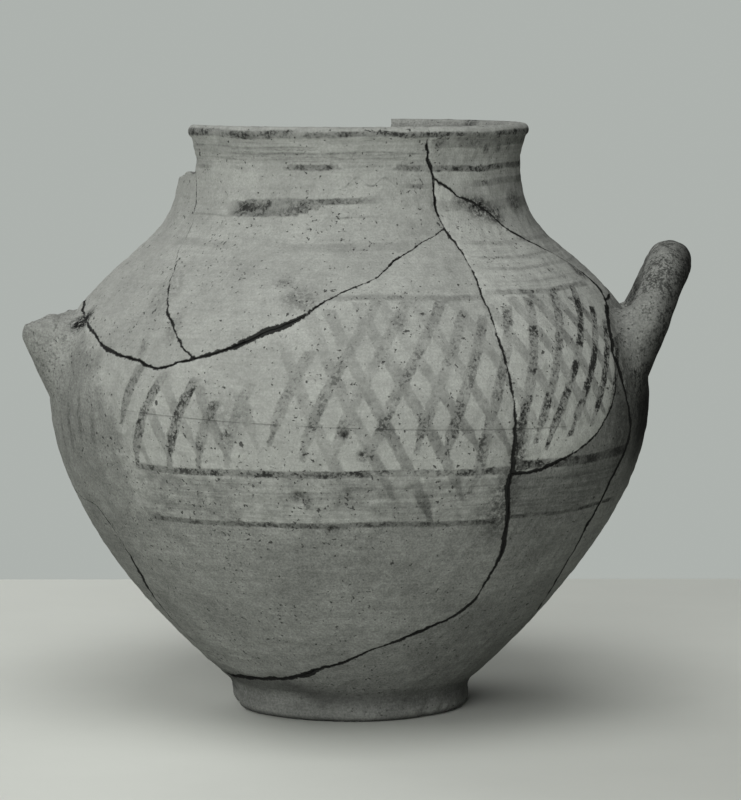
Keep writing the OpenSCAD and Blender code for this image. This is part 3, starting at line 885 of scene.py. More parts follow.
def add_piece(name, points, faces, node, material, layers=None):
    """A mesh object from points in mm and rows of corner numbers, which stands for a node of the solids."""
    mesh = bpy.data.meshes.new(name)
    corners = faces.shape[1]
    mesh.vertices.add(len(points))
    mesh.vertices.foreach_set("co", (points * MM).astype(np.float32).ravel())
    mesh.loops.add(faces.size)
    mesh.loops.foreach_set("vertex_index", faces.astype(np.int32).ravel())
    mesh.polygons.add(len(faces))
    mesh.polygons.foreach_set("loop_start", np.arange(0, faces.size, corners, dtype=np.int32))
    mesh.update(calc_edges=True)
    for key, values in (layers or {}).items():
        layer = mesh.attributes.new(key, "FLOAT", "POINT")
        layer.data.foreach_set("value", values.astype(np.float32))
    mesh.validate()
    mesh.shade_smooth()
    mesh.set_sharp_from_angle(angle=math.radians(50))
    mesh.materials.append(material)
    piece = bpy.data.objects.new(name, mesh)
    bpy.context.scene.collection.objects.link(piece)
    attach(piece, "root")
    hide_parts(node)


def welded(points, triangles, layers):
    """Merges points that fall together, then drops triangles without area and points out of use."""
    keys = np.round(points * 500).astype(np.int64)
    first, back = np.unique(keys, axis=0, return_index=True, return_inverse=True)[1:]
    triangles = back.ravel()[triangles]
    points, layers = points[first], {key: values[first] for key, values in layers.items()}
    a, b, c = triangles.T
    triangles = triangles[(a != b) & (b != c) & (c != a)]
    used, triangles = np.unique(triangles, return_inverse=True)
    return points[used], triangles.reshape(-1, 3), {key: values[used] for key, values in layers.items()}


def strip(first, second):
    """Two triangles for each step of two closed rings of point numbers."""
    a, b, c, d = first, np.roll(first, -1), np.roll(second, -1), second
    return np.vstack([np.column_stack([a, b, c]), np.column_stack([a, c, d])])


def grid_faces(rows, columns, ring=False):
    """Four-sided faces of a grid of points joined round its columns, and in a ring from last row to first."""
    row, column = np.meshgrid(np.arange(rows if ring else rows - 1), np.arange(columns), indexing="ij")
    here, above = row * columns, (row + 1) % rows * columns
    after = (column + 1) % columns
    return np.stack([here + column, here + after, above + after, above + column], axis=-1).reshape(-1, 4)


def cut_in_two(faces):
    """Two triangles for each four-sided face."""
    return np.vstack([faces[:, [0, 1, 2]], faces[:, [0, 2, 3]]])


def facing_out(points, faces):
    """Faces turned so that the volume in them, a sum of triple products of corners, is more than nothing."""
    a, b, c = (points[faces[:, i]] for i in range(3))
    volume = np.einsum("ij,ij->i", a, np.cross(b, c)).sum()
    return faces if volume > 0 else faces[:, ::-1]


def painted_layers(node, angle, run, edge, inside, points):
    """Values that the clay's finish reads at each point of a sherd."""
    angle = wrapped(angle)
    height, radius = height_at(run), np.maximum(radius_at(run), 1)
    band, band_half, band_tone = band_paint(angle, height, radius)
    rising, rising_tone = stroke_paint(
        angle, height, radius, RISING + back_strokes(BACK_LEAN), RISING_HALF, RISING_BOW, RISING_FADE)
    falling, falling_tone = stroke_paint(
        angle, height, radius, FALLING + back_strokes(-BACK_LEAN), FALLING_HALF, FALLING_BOW, FALLING_FADE)
    outside = 1 - inside
    return {
        "band": band, "band_half": band_half, "band_tone": band_tone * outside,
        "rising": rising, "rising_tone": rising_tone * outside,
        "falling": falling, "falling_tone": falling_tone * outside,
        "slip": slip_cover(angle, height, radius) * outside * SHERD_SLIP.get(node, 1.0),
        "brushing": brushing(angle, height) * outside,
        "stain": stains_on(angle, height, radius) * np.maximum(outside, height > 342),
        "handled": handled(points) * outside * (node in SEAT_SHERDS),
        "wash": rubbing(points) * np.where(points[:, 0] < 0, 0.5, 1),
        "edge": np.minimum(edge, 20),
        # The tone layer holds each sherd's own tone times the painted shade of the right side and of the
        # foot.
        "tone": SHERD_TONE.get(node, 1.0) * painted_shade(angle, height),
        "run": run * MM,
    }


def painted_shade(angle, height):
    """Share of its tone that the clay keeps, as painted shade: less on the right side and at the foot.

    The painted shade lies in the crease above the foot, higher at the left of the front, and along the tread
    as a contact shadow.
    """
    degrees = np.degrees(wrapped(angle))
    right_shade = hump(degrees, 79, 17) * hump(height, 175, 37)
    crease = 14 + 8 * grade(degrees, -12, -26) * grade(degrees, -80, -66)
    return (1 - 0.94 * right_shade) * (1 - 0.45 * hump(height, crease, 6)) * (1 - 0.7 * hump(height, 0, 2.4))


def add_sherd(node, names, material):
    """A sherd: an outer and an inner sheet over its outline, joined by the broken thickness of the wall."""
    outline = outline_of(names)
    clean = outline["clean"]
    disc = node == "base_sherd"
    crest = outline["run"] >= CREST_RUN
    outer_angle, outer_run = drawn_in(outline, outline["gap"] + np.where(crest, 0, outline["left"]))
    inner_angle, inner_run = drawn_in(outline, outline["gap"])
    outer = sheet(outer_angle, outer_run, clean, OUTER_STEP, disc)
    inner = sheet(inner_angle, inner_run, clean, INNER_STEP, disc)
    count = len(outer_angle)

    rng = np.random.default_rng(SEED + len(names[0]))
    lip = 0.05 + 0.08 * outline["left"]
    rows = [lip] + [np.full(count, share) for share in WALL_ROWS]
    rough = [0 * lip] + [np.where(crest, 0, rng.normal(0, 0.25, count)) for share in WALL_ROWS]
    row_angles, row_runs = zip(*[drawn_in(outline, outline["gap"] + shift) for shift in rough])
    angle = np.concatenate([outer["angle"], *row_angles, inner["angle"]])
    run = np.concatenate([outer["run"], *[np.where(crest, RUN_TOP, row) for row in row_runs], inner["run"]])
    depth = np.concatenate([np.zeros(len(outer["angle"])), *rows, np.ones(len(inner["angle"]))])
    edge = np.concatenate([outer["edge"], *[clean] * len(rows), inner["edge"]])

    height, radius = height_at(run), np.maximum(radius_at(run), 1)
    skin = (depth == 0).astype(float)
    proud = SHERD_PROUD.get(node, 0) * grade(run, RUN_TOP, RUN_TOP - 12) * grade(run, 90, 110)
    lift = throwing(angle, run) + proud
    lift -= skin * (pitting(wrapped(angle), height, radius) + 0.3 * np.exp(-np.maximum(edge, 0) / 0.9))
    lift += skin * 0.12 * ripples(turned(angle, radius, height), 9, 14, np.random.default_rng(SEED))
    lift += skin * collar(angle, run)
    points = wall_points(angle, run, depth, lift)

    start = len(outer["angle"])
    rings = [np.arange(count)]
    rings += [start + i * count + np.arange(count) for i in range(len(rows))]
    rings.append(start + len(rows) * count + np.arange(count))
    walls = [strip(second, first) for first, second in zip(rings[:-1], rings[1:])]
    triangles = np.vstack([outer["triangles"], inner["triangles"][:, ::-1] + rings[-1][0], *walls])
    layers = painted_layers(node, angle, run, edge, 1 - skin, points)
    points, triangles, layers = welded(points, triangles, layers)
    add_piece(node + "_fired", points, triangles, node, material, layers)


def add_beads(node, names, material):
    """Hardened glue: along each join a flat bar, a little wider than the join and below the wall's faces."""
    all_points, all_faces, first = [], [], 0
    for index, name in enumerate(names):
        edge = EDGES[name]
        rng = np.random.default_rng(SEED + 40 + index)
        inner = slice(1, -3) if edge["run"][-1] >= CREST_RUN else slice(1, -1)
        angle, run, gap = edge["angle"][inner], edge["run"][inner], edge["gap"][inner]
        length = np.arange(len(run)) * EDGE_STEP
        aside, up = left_of(angle, run, False)
        top = 0.13 + 0.035 * wander(length, 4, rng).clip(-1.5, 1.5)
        wide = gap + 0.3
        lift = throwing(angle, run) + collar(angle, run)
        ring = []
        for share, sunk in BEAD_SECTION:
            depth = np.full(len(run), BEAD_DEPTH) if sunk is None else top + sunk
            side_angle = angle + share * wide * aside / radius_at(run)
            ring.append(wall_points(side_angle, run + share * wide * up, depth, lift))
        points = np.stack(ring, axis=1)
        caps = points[[0, -1]].mean(axis=1, keepdims=True).repeat(len(BEAD_SECTION), axis=1)
        points = np.concatenate([caps[:1], points, caps[1:]])
        all_points.append(points.reshape(-1, 3))
        all_faces.append(grid_faces(len(points), len(BEAD_SECTION)) + first)
        first += len(all_points[-1])
    triangles = cut_in_two(np.vstack(all_faces))[:, ::-1]
    points, triangles = welded(np.vstack(all_points), triangles, {})[:2]
    add_piece(node + "_bead", points, triangles, node, material)


def leg_place(frame, along, out, wide):
    """Points of a handle: its root plus lengths up its slope, outwards and across."""
    root, outwards, across, upwards = frame
    return root + along[..., None] * upwards + out[..., None] * outwards + wide[..., None] * across


def leg_lines(leg, shrink):
    """Lines down a leg: at a length past its root, its axis plus its radius times a turn's (cosine, sine)."""
    frame, side = leg

    def line(along):
        spread = leg_spread(along)
        radius = (ROLL_R + spread) * shrink
        out = radius * np.cos(ROLL_TURN) - spread
        return leg_place(frame, along, out, radius * np.sin(ROLL_TURN) + side * LEG_OFFSET)

    return line


def leg_rows(leg, tops, count):
    """Grid of a leg, from a cap seated in the wall up to the lengths given for its last row.

    The cap lies just under the wall's skin: each line down the leg is followed until it is that deep.
    """
    shrink = np.linspace(0, 1, 7)[:, None] ** 0.7
    capped = leg_lines(leg, shrink)

    def buried(along):
        x, y, z = np.moveaxis(capped(along), -1, 0)
        return np.hypot(x, y) < wall_radius(z) - SEAT_DEPTH

    shape = (len(shrink), ROLL_POINTS)
    seats = halving(buried, np.full(shape, -60.0), np.full(shape, 25.0), 40)[1]
    share = np.linspace(0, 1, count)[1:, None] ** 1.3
    along = seats[-1] + share * (tops - seats[-1])
    return np.concatenate([capped(seats), leg_lines(leg, 1.0)(along)])


def kneaded(points, rng):
    """A hand-rolled surface: points moved to and from their row's middle by slow and by fine ripples."""
    flat = points.reshape(-1, 3)
    ways = (points - points.mean(axis=1, keepdims=True)).reshape(-1, 3)
    lengths = np.maximum(np.linalg.norm(ways, axis=1, keepdims=True), 1e-6)
    uneven = 0.25 * ripples(flat, 34, 10, rng) + 0.14 * ripples(flat, 8, 16, rng)
    away = np.hypot(flat[:, 0], flat[:, 1]) - wall_radius(flat[:, 2])
    uneven *= grade(lengths[:, 0], 0, ROLL_R) * np.maximum(grade(away, 0, 20), 0.1)
    return (flat + ways / lengths * uneven[:, None]).reshape(points.shape)


def add_right_handle(material):
    """The whole loop: a leg, half a ring of the roll about the loop's middle, and the other leg."""
    straight_len = LOOP_LEN - LEG_OFFSET
    tops = np.full(ROLL_POINTS, straight_len)
    front = leg_rows(LEGS[0], tops, 26)
    rear = leg_rows(LEGS[1], tops, 26)[::-1]
    bend = np.linspace(0, np.pi, 61)[1:-1, None]
    length = straight_len + LEG_OFFSET * np.minimum(bend, np.pi - bend)
    spread = leg_spread(length)
    radius = ROLL_R + spread
    arm = LEG_OFFSET - radius * np.sin(ROLL_TURN)
    out = radius * np.cos(ROLL_TURN) - spread
    loop = leg_place(RIGHT_FRAME, straight_len + arm * np.sin(bend), out, -arm * np.cos(bend))
    rear = np.roll(rear[:, ::-1], 1, axis=1)
    points = kneaded(np.concatenate([front, loop, rear]), np.random.default_rng(SEED + 21))
    add_roll("right_handle", points, material)


def add_stub(node, leg, material, seed):
    """A broken leg: its rows up to the break, an edge worn round there and a rough face over its middle.

    The worn edge is a quarter circle: it goes in by the wear times (1 - cosine) and up by its sine.
    """
    rng = np.random.default_rng(SEED + seed)
    slant = math.tan(math.radians(BREAK_TILT))
    length = STUB_LEN[leg[1]]
    tops = length - ROLL_R * np.cos(ROLL_TURN) * slant
    rows = leg_rows(leg, tops - BREAK_WEAR, 24)
    bend = np.radians(np.linspace(0, 90, 9)[1:])
    rim = 1 - BREAK_WEAR / ROLL_R * (1 - np.cos(bend))
    shrink = np.concatenate([rim, np.linspace(rim[-1], 0, 9)[1:]])[:, None]
    drop = BREAK_WEAR * np.concatenate([1 - np.sin(bend), np.zeros(8)])[:, None]
    spread = leg_spread(tops)
    out = (ROLL_R + spread) * shrink * np.cos(ROLL_TURN) - spread
    wide = (ROLL_R + spread) * shrink * np.sin(ROLL_TURN)
    flat = np.column_stack([out.ravel(), wide.ravel()])
    worn = (0.7 * ripples(flat, 16, 8, rng) + 0.3 * ripples(flat, 5, 12, rng)).reshape(out.shape)
    along = length - out * slant - drop + worn * np.clip((0.95 - shrink) * 3, 0, 1)
    face = leg_place(leg[0], along, out, wide + leg[1] * LEG_OFFSET)
    face[-1] = face[-1].mean(axis=0)
    add_roll(node, kneaded(np.concatenate([rows, face]), rng), material)


def add_roll(node, points, material):
    """A handle's grid as a closed mesh whose faces point outwards, with the values that its finish reads."""
    flat = points.reshape(-1, 3)
    triangles = facing_out(flat, cut_in_two(grid_faces(len(points), ROLL_POINTS)))
    flat, triangles = welded(flat, triangles, {})[:2]
    turns = np.arctan2(flat[:, 0], -flat[:, 1])
    # The tone carries the painted shade of the right side and of the foot.
    tone = painted_shade(turns, flat[:, 2])
    wash = rubbing(flat)
    if node == "right_handle":
        # Painted shade on the right handle: its outer side, away from the lamps, and its rear leg are
        # darkened.
        outer = grade((flat - RIGHT_FRAME[0]) @ RIGHT_FRAME[1] / ROLL_R, -0.1, 0.8)
        tone *= 0.9 * (1 - 0.75 * outer) * np.interp(flat[:, 1], [-10, 25], [1, 0.75])
    else:
        wash *= 0.6
    layers = {"wash": wash, "tone": tone, "run": 0 * turns}
    add_piece(node + "_rolled", flat, triangles, node, material, layers)


def add_foot(material):
    """Ring foot: a closed section carried round the axis, waved a little in radius but flat on its tread.

    Its side is a hollow curve that ends flush on the wall, a little way up from the crease.
    """
    inner_r = FOOT_R - FOOT_ROUND - TREAD_W
    base_r = FOOT_R - FOOT_OUT
    under_r = base_r - (FOOT_H - RECESS_H)
    flush_r, flush_z = (np.interp(RUN[WALL_START] + FOOT_HOLLOW, RUN, OUTER[:, i]) for i in (0, 1))
    hollow = [(FOOT_R, FOOT_ROUND), (FOOT_R + 0.3, 8.6), (base_r + 0.2, 13.8), (flush_r, flush_z)]
    section = np.vstack([
        straight((inner_r, 0), (FOOT_R - FOOT_ROUND, 0), 10)[:-1],
        arc((FOOT_R - FOOT_ROUND, FOOT_ROUND), FOOT_ROUND, -90, 0, 14)[:-1],
        bezier(hollow, 18),
        straight((base_r - 1, FOOT_H + 1), (under_r, RECESS_H), 5),
        straight((under_r, RECESS_H), (inner_r + TREAD_W / 4, RECESS_H), 5)[1:],
        straight((inner_r + TREAD_W / 4, RECESS_H), (inner_r, 0), 8)[1:-1],
    ])
    angle = np.linspace(0, 2 * np.pi, FOOT_POINTS, endpoint=False).repeat(len(section))
    radius, height = np.tile(section.T, FOOT_POINTS)
    points = turned(angle, radius, height)
    rng = np.random.default_rng(SEED + 31)
    uneven = 0.35 * ripples(points, 40, 8, rng) + 0.14 * ripples(points, 6, 16, rng)
    turns = np.degrees(wrapped(angle))
    for place, half, deep in FOOT_DENTS:
        uneven -= deep * hump(turns, place, half)
    uneven *= grade(radius, FOOT_R - 9, FOOT_R - 3) * grade(height, FOOT_H, FOOT_H - 4)
    points[:, :2] *= ((radius + uneven) / radius)[:, None]
    faces = facing_out(points, grid_faces(FOOT_POINTS, len(section), True))
    # Painted light: the foot's lower rounded edge is made paler, as if lit from the front.
    tone = SHERD_TONE["base_sherd"] * painted_shade(angle, height) * (1 + 0.15 * grade(height, 9, 5))
    layers = {"wash": 0 * tone, "tone": tone, "run": height * MM}
    add_piece("foot_ring_turned", points, faces, "foot_ring", material, layers)


# Finishes


def put(tree, kind, inputs=None, **settings):
    """Adds a node with its settings; an input given as a socket is linked, and any other is set."""
    made = tree.nodes.new(kind)
    for key, value in settings.items():
        setattr(made, key, value)
    for key, value in (inputs or {}).items():
        if isinstance(value, bpy.types.NodeSocket):
            tree.links.new(value, made.inputs[key])
        else:
            made.inputs[key].default_value = value
    return made


def sums(tree, operation, first, second=0.0, clamp=False):
    """Output of a Math node."""
    inputs = {0: first, 1: second}
    return put(tree, "ShaderNodeMath", inputs, operation=operation, use_clamp=clamp).outputs[0]


def times(tree, first, second, clamp=False):
    """Product of two values."""
    return sums(tree, "MULTIPLY", first, second, clamp)


def plus(tree, first, second):
    """Sum of two values."""
    return sums(tree, "ADD", first, second)


def less(tree, first, second):
    """First value less the second."""
    return sums(tree, "SUBTRACT", first, second)


def between(tree, share, low, high):
    """Output that goes from low to high as share goes from 0 to 1."""
    inputs = {"Factor": share, 2: low, 3: high}
    return put(tree, "ShaderNodeMix", inputs, data_type="FLOAT").outputs[0]


def ramped(tree, value, start, end, low=0.0, high=1.0):
    """Smooth step of a value from start to end, given out between low and high."""
    inputs = {0: value, 1: start, 2: end, 3: low, 4: high}
    return put(tree, "ShaderNodeMapRange", inputs, interpolation_type="SMOOTHSTEP").outputs[0]


def noise(tree, coordinates, scale, detail=2.0, rough=0.5):
    """Value of a noise texture, round one half."""
    inputs = {"Vector": coordinates, "Scale": scale, "Detail": detail, "Roughness": rough}
    return put(tree, "ShaderNodeTexNoise", inputs).outputs[0]


def own_place(tree):
    """Place of a point in its piece's own coordinates, in metres."""
    return put(tree, "ShaderNodeTexCoord").outputs["Object"]


def layer(tree, name):
    """Value of one of a piece's own layers."""
    return put(tree, "ShaderNodeAttribute", attribute_name=name).outputs["Fac"]


def new_group(name, inputs, outputs):
    """An empty group with named number sockets, and its input and output nodes."""
    tree = bpy.data.node_groups.new(name, "ShaderNodeTree")
    for key, value in inputs.items():
        socket = tree.interface.new_socket(key, in_out="INPUT", socket_type="NodeSocketFloat")
        socket.default_value = value
    for key in outputs:
        tree.interface.new_socket(key, in_out="OUTPUT", socket_type="NodeSocketFloat")
    return tree, put(tree, "NodeGroupInput").outputs, put(tree, "NodeGroupOutput").inputs


def clay_body_group():
    """Fired clay: mottling, fine grain, pits of odd shapes that come in swarms, and height for the bump."""
    tree, given, out = new_group("clay_body", {"Grit": 1.0}, ["Mottle", "Grain", "Pits", "Height"])
    place = own_place(tree)
    slow = times(tree, noise(tree, place, 26, 6, 0.65), 0.6)
    quick = times(tree, noise(tree, place, 170, 5, 0.7), 0.4)
    mottle = ramped(tree, plus(tree, slow, quick), 0.33, 0.67)
    grain = ramped(tree, noise(tree, place, 800, 3, 0.65), 0.3, 0.7)
    swarm = times(tree, ramped(tree, noise(tree, place, 38, 2, 0.5), 0.36, 0.66), 0.05)
    swarm = times(tree, swarm, given["Grit"])
    small = ramped(tree, plus(tree, noise(tree, place, 430, 2, 0.6), swarm), 0.685, 0.75)
    large = ramped(tree, plus(tree, noise(tree, place, 190, 3, 0.6), swarm), 0.72, 0.75)
    pits = sums(tree, "MAXIMUM", small, large)
    height = plus(tree, times(tree, mottle, 0.3), times(tree, grain, 0.25))
    height = less(tree, height, pits)
    for key, value in (("Mottle", mottle), ("Grain", grain), ("Pits", pits), ("Height", height)):
        tree.links.new(value, out[key])
    return tree


def worn_paint_group():
    """Worn paint: a wash inside a ragged edge, and grains that stand closer where it is stronger."""
    inputs = {"Distance": -9.0, "Strength": 0.0, "Wash": 0.4, "Ragged": 2.0, "Grains": 0.6}
    tree, given, out = new_group("worn_paint", inputs, ["Cover"])
    place = own_place(tree)
    ragged = less(tree, noise(tree, place, 230, 5, 0.75), 0.5)
    reach = plus(tree, given["Distance"], times(tree, ragged, given["Ragged"]))
    inside = ramped(tree, reach, -0.6, 0.7)
    patch = ramped(tree, noise(tree, place, 80, 5, 0.7), 0.34, 0.64)
    worn = times(tree, given["Strength"], between(tree, patch, 0.5, 1.15))
    core = ramped(tree, given["Distance"], -0.5, 2.5, 0.6, 1.0)
    fine = times(tree, noise(tree, place, 560, 2, 0.6), 0.6)
    clumps = times(tree, noise(tree, place, 170, 4, 0.65), 0.4)
    line = less(tree, 0.61, times(tree, times(tree, worn, core), 0.15))
    grains = ramped(tree, less(tree, plus(tree, fine, clumps), line), -0.04, 0.05)
    wash = times(tree, worn, given["Wash"])
    grains = times(tree, grains, times(tree, worn, given["Grains"]))
    cover = times(tree, inside, plus(tree, wash, grains), clamp=True)
    tree.links.new(cover, out["Cover"])
    return tree


def dirt_group():
    """Dirt and old glue: thick at a break, thin and ragged a few mm from it, and in stains."""
    tree, given, out = new_group("join_dirt", {"Edge": 20.0, "Stain": 0.0}, ["Dirt"])
    place = own_place(tree)
    ragged = noise(tree, place, 420, 4, 0.75)
    uneven = plus(tree, ragged, noise(tree, place, 130, 4, 0.75))
    spread = times(tree, less(tree, uneven, 0.76), 2.8)
    away = less(tree, given["Edge"], spread)
    near = ramped(tree, away, -0.35, 0.3, 0.95, 0.0)
    stain = times(tree, given["Stain"], ramped(tree, ragged, 0.3, 0.62))
    tree.links.new(sums(tree, "MAXIMUM", near, stain), out["Dirt"])
    return tree


def streak_group():
    """Brush and wheel lines that run level round the pot: noise drawn out along the wall, fine up the run."""
    tree, given, out = new_group("level_streaks", {"Run": 0.0, "Fine": 620.0}, ["Streaks"])
    place = put(tree, "ShaderNodeSeparateXYZ", {0: own_place(tree)})
    x = times(tree, place.outputs[0], 22.0)
    y = times(tree, place.outputs[1], 22.0)
    up = times(tree, given["Run"], given["Fine"])
    drawn = put(tree, "ShaderNodeCombineXYZ", {0: x, 1: y, 2: up}).outputs[0]
    tree.links.new(noise(tree, drawn, 1.0, 4, 0.6), out["Streaks"])
    return tree


def rubbed_clay_group():
    """Handled clay: dark grains that stand closer in patches and where the wash is stronger."""
    tree, given, out = new_group("rubbed_clay", {"Wash": 1.0}, ["Grains"])
    place = own_place(tree)
    patch = ramped(tree, noise(tree, place, 55, 4, 0.65), 0.3, 0.57)
    fine = times(tree, noise(tree, place, 700, 2, 0.6), 0.55)
    clumps = times(tree, noise(tree, place, 240, 4, 0.7), 0.45)
    dense = times(tree, times(tree, patch, given["Wash"]), 0.15)
    line = less(tree, 0.62, dense)
    grains = ramped(tree, less(tree, plus(tree, fine, clumps), line), -0.05, 0.09)
    tree.links.new(times(tree, grains, given["Wash"]), out["Grains"])
    return tree


CLAY_BODY = clay_body_group()
RUBBED_CLAY = rubbed_clay_group()
WORN_PAINT = worn_paint_group()
JOIN_DIRT = dirt_group()
LEVEL_STREAKS = streak_group()

# Slightly green neutral greys: the share of a tone that each colour gets
TINT = (0.968, 1.0, 0.925)

# Tones as shares of white; a pair is the darkest and the palest of an uneven one
BARE_TONES = (0.152, 0.24)
SLIP_TONES = (0.262, 0.355)
GLUE_TONES = (0.004, 0.014)
TABLE_TONES = (0.58, 0.68)
PAINT_TONE = 0.03
DIRT_TONE = 0.007

# Tool's groove round the front: its height at the middle in metres, and its fall to the right as a slope
GROOVE_LEVEL, GROOVE_FALL = 0.1862, 0.036

# How each kind of paint has worn: strength of its wash, raggedness of its edges in mm, strength of its grains
PAINT_WEAR = {"band": (0.6, 2.8, 0.36), "rising": (0.52, 4.2, 0.5), "falling": (0.7, 4.0, 0.24)}


def placed(tree, group, inputs):
    """Outputs of a group placed in a material with its own values."""
    return put(tree, "ShaderNodeGroup", inputs, node_tree=group).outputs


def new_finish(name, specular):
    """An empty material with a matt shader."""
    material = bpy.data.materials.new(name)
    material.use_nodes = True
    tree = material.node_tree
    shader = tree.nodes["Principled BSDF"]
    shader.inputs["Specular IOR Level"].default_value = specular
    return material, tree, shader


def coloured(tree, shader, tone):
    """Links a tone, tinted, to the shader's colour."""
    parts = {i: times(tree, tone, share) for i, share in enumerate(TINT)}
    tree.links.new(put(tree, "ShaderNodeCombineColor", parts).outputs[0], shader.inputs["Base Color"])


def bumped(tree, shader, height, strength, distance):
    """Links a height to the shader's normal, with the bump's depth in metres."""
    inputs = {"Height": height, "Strength": strength, "Distance": distance}
    tree.links.new(put(tree, "ShaderNodeBump", inputs).outputs[0], shader.inputs["Normal"])


def marked(tree, tone, mask, strength, mark):
    """A tone with marks of another tone where a mask is, as strong as strength says."""
    return between(tree, times(tree, mask, strength), tone, mark)


def bare_tone(tree, body):
    """Tone of bare clay: mottled and grainy."""
    mottled = between(tree, body["Mottle"], *BARE_TONES)
    return times(tree, mottled, between(tree, body["Grain"], 0.78, 1.22))


def rubbed_tone(tree, body):
    """Tone of handled clay: a little paler than bare clay, with dark grains."""
    grains = placed(tree, RUBBED_CLAY, {"Wash": layer(tree, "wash")})[0]
    tone = times(tree, bare_tone(tree, body), 1.15)
    return marked(tree, tone, grains, 0.8, PAINT_TONE)


def streaked(tree, tone, brushed):
    """A tone with level lines, fine and broad ones, as strong as brushed says; and the fine lines' height."""
    fine = placed(tree, LEVEL_STREAKS, {"Run": layer(tree, "run"), "Fine": 520.0})[0]
    broad = placed(tree, LEVEL_STREAKS, {"Run": layer(tree, "run"), "Fine": 170.0})[0]
    lines = times(tree, ramped(tree, fine, 0.62, 0.4), brushed)
    tone = times(tree, tone, between(tree, lines, 1.04, 0.8))
    washes = times(tree, ramped(tree, broad, 0.6, 0.34), brushed)
    return times(tree, tone, between(tree, washes, 1.02, 0.84)), fine


def tool_line(tree):
    """Mask of the fine groove that a tool drew round the front, falling slowly to the right."""
    place = own_place(tree)
    x, y, z = put(tree, "ShaderNodeSeparateXYZ", {0: place}).outputs
    level = plus(tree, z, times(tree, x, GROOVE_FALL))
    away = sums(tree, "ABSOLUTE", less(tree, level, GROOVE_LEVEL))
    line = ramped(tree, away, 0.0001, 0.0005, 1.0, 0.0)
    front = ramped(tree, y, -0.14, -0.12, 1.0, 0.0)
    kept = ramped(tree, noise(tree, place, 55, 2, 0.5), 0.4, 0.55)
    return times(tree, times(tree, line, front), kept)


def painted_clay_finish():
    """Matt clay with pale slip, worn bands and lattice, brush lines, stains and dirty joins."""
    material, tree, shader = new_finish("painted_clay_worn", 0.06)
    body = placed(tree, CLAY_BODY, {"Grit": 1.0})
    uneven = times(tree, less(tree, body["Mottle"], 0.5), 0.5)
    slip = ramped(tree, plus(tree, layer(tree, "slip"), uneven), 0.1, 0.9)

    pale = between(tree, body["Mottle"], *SLIP_TONES)
    pale = times(tree, pale, between(tree, body["Grain"], 0.89, 1.1))
    tone = between(tree, slip, bare_tone(tree, body), pale)
    tone = between(tree, layer(tree, "handled"), tone, rubbed_tone(tree, body))
    # The tone layer brings each piece's own tone and its painted shade.
    tone = times(tree, tone, layer(tree, "tone"))
    tone, streaks = streaked(tree, tone, layer(tree, "brushing"))

    reach = {key: layer(tree, key) for key in PAINT_WEAR}
    reach["band"] = less(tree, layer(tree, "band_half"), sums(tree, "ABSOLUTE", reach["band"]))
    cover = 0.0
    for key, (wash, ragged, grains) in PAINT_WEAR.items():
        inputs = {"Distance": reach[key], "Strength": layer(tree, key + "_tone"),
                  "Wash": wash, "Ragged": ragged, "Grains": grains}
        cover = sums(tree, "MAXIMUM", placed(tree, WORN_PAINT, inputs)[0], cover)
    tone = between(tree, cover, tone, PAINT_TONE)
    groove = tool_line(tree)
    # The groove is darkened in colour: painted shade in it, on top of the bump that sinks it.
    tone = times(tree, tone, between(tree, groove, 1.0, 0.8))
    # The pits are darkened almost to black: painted shade in them.
    tone = marked(tree, tone, body["Pits"], 0.85, 0.03)
    dirt = placed(tree, JOIN_DIRT, {"Edge": layer(tree, "edge"), "Stain": layer(tree, "stain")})[0]
    tone = between(tree, dirt, tone, DIRT_TONE)
    coloured(tree, shader, tone)

    tree.links.new(between(tree, body["Mottle"], 0.78, 0.95), shader.inputs["Roughness"])
    height = plus(tree, body["Height"], times(tree, streaks, 0.35))
    height = less(tree, height, groove)
    bumped(tree, shader, height, 0.8, 0.0006)
    return material


def bare_clay_finish():
    """Matt bare clay; on the handle a dark wash that has worn to patches of grains."""
    material, tree, shader = new_finish("bare_clay_rubbed", 0.06)
    body = placed(tree, CLAY_BODY, {"Grit": 0.9})
    bare = streaked(tree, bare_tone(tree, body), 0.42)[0]
    washed = ramped(tree, layer(tree, "wash"), 0.0, 0.05)
    # The tone layer brings each piece's own tone and its painted shade.
    tone = times(tree, between(tree, washed, bare, rubbed_tone(tree, body)), layer(tree, "tone"))
    # The pits are darkened: painted shade in them.
    tone = marked(tree, tone, body["Pits"], 0.7, 0.04)
    coloured(tree, shader, tone)
    tree.links.new(between(tree, body["Mottle"], 0.8, 0.96), shader.inputs["Roughness"])
    bumped(tree, shader, body["Height"], 0.6, 0.0008)
    return material


def adhesive_finish():
    """Dark brittle glue with dust in its pores."""
    material, tree, shader = new_finish("old_adhesive_dark", 0.1)
    body = placed(tree, CLAY_BODY, {"Grit": 0.5})
    coloured(tree, shader, between(tree, body["Mottle"], *GLUE_TONES))
    tree.links.new(between(tree, body["Grain"], 0.55, 0.85), shader.inputs["Roughness"])
    bumped(tree, shader, body["Height"], 0.5, 0.0005)
    return material


painted_clay = painted_clay_finish()
bare_clay = bare_clay_finish()
old_adhesive = adhesive_finish()

for node, names in SHERDS.items():
    add_sherd(node, names, painted_clay)
for node, names in ADHESIVES.items():
    add_beads(node, names, old_adhesive)
add_foot(bare_clay)
add_right_handle(bare_clay)
add_stub("left_handle_front_stub", LEGS[2], bare_clay, 51)
add_stub("left_handle_rear_stub", LEGS[3], bare_clay, 52)


# Table, light and camera

TABLE_BACK = 0.48
TABLE_REACH = 3.0
BACKDROP = (0.42, 0.447, 0.425, 1)
AIM = Vector((0, 0, 0.18))


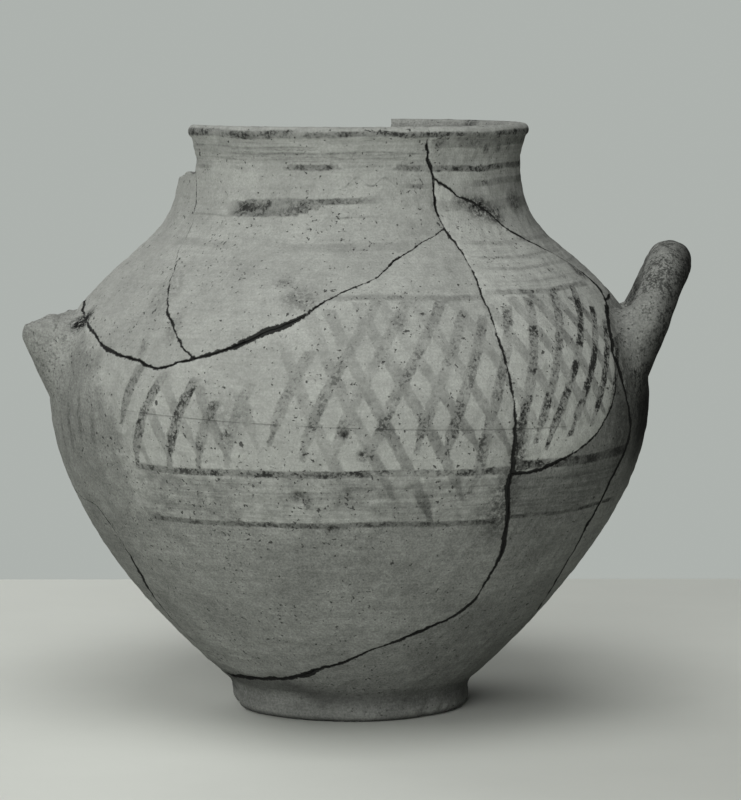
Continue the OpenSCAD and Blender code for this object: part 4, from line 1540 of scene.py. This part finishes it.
def add_table():
    """Plain pale table top with a faint unevenness of tone."""
    corners = [(-TABLE_REACH, -TABLE_REACH, 0), (TABLE_REACH, -TABLE_REACH, 0),
               (TABLE_REACH, TABLE_BACK, 0), (-TABLE_REACH, TABLE_BACK, 0)]
    mesh = bpy.data.meshes.new("table")
    mesh.from_pydata(corners, [], [(0, 1, 2, 3)])
    material, tree, shader = new_finish("table_pale", 0.1)
    place = own_place(tree)
    coloured(tree, shader, between(tree, noise(tree, place, 4, 5, 0.6), *TABLE_TONES))
    shader.inputs["Roughness"].default_value = 0.9
    mesh.materials.append(material)
    table = bpy.data.objects.new("table", mesh)
    bpy.context.scene.collection.objects.link(table)


def add_lamp(name, side, rise, away, size, level):
    """A square soft lamp that faces the pot from degrees to its side and up, at a level of light on it.

    A lamp's power for a level is the level times the square of pi times its distance.
    """
    side, rise = math.radians(side), math.radians(rise)
    way = Vector((math.sin(side) * math.cos(rise), -math.cos(side) * math.cos(rise), math.sin(rise)))
    lamp = bpy.data.lights.new(name, "AREA")
    lamp.size = size
    lamp.energy = level * (math.pi * away) ** 2
    holder = bpy.data.objects.new(name, lamp)
    holder.location = AIM + away * way
    holder.rotation_euler = (-way).to_track_quat("-Z", "Y").to_euler()
    bpy.context.scene.collection.objects.link(holder)


def add_world(level):
    """Even light all round; the camera sees the backdrop's grey."""
    world = bpy.data.worlds.new("studio")
    bpy.context.scene.world = world
    world.use_nodes = True
    tree = world.node_tree
    light = tree.nodes["Background"]
    light.inputs["Color"].default_value = (1, 1, 1, 1)
    light.inputs["Strength"].default_value = level
    backdrop = put(tree, "ShaderNodeBackground", {"Color": BACKDROP, "Strength": 1.0})
    seen = put(tree, "ShaderNodeLightPath").outputs["Is Camera Ray"]
    mixed = put(tree, "ShaderNodeMixShader", {0: seen, 1: light.outputs[0], 2: backdrop.outputs[0]})
    tree.links.new(mixed.outputs[0], tree.nodes["World Output"].inputs["Surface"])


def add_camera(place, target, lens):
    """Camera at the photograph's place, a little above the rim and turned a little down."""
    data = bpy.data.cameras.new("camera")
    data.lens = lens
    camera = bpy.data.objects.new("camera", data)
    camera.location = place
    camera.rotation_euler = (Vector(target) - Vector(place)).to_track_quat("-Z", "Y").to_euler()
    bpy.context.scene.collection.objects.link(camera)
    bpy.context.scene.camera = camera


add_table()
add_world(level=0.045)
add_lamp("low_left", side=-18, rise=9, away=2.8, size=2.0, level=0.84)
add_lamp("high", side=-4, rise=68, away=2.6, size=2.0, level=0.62)
add_lamp("behind", side=-138, rise=30, away=2.8, size=1.8, level=0.5)
add_camera(place=(0, -2.105, 0.4016), target=(0.0123, 0, 0.1835), lens=158.2)
bpy.context.scene.view_settings.view_transform = "Standard"
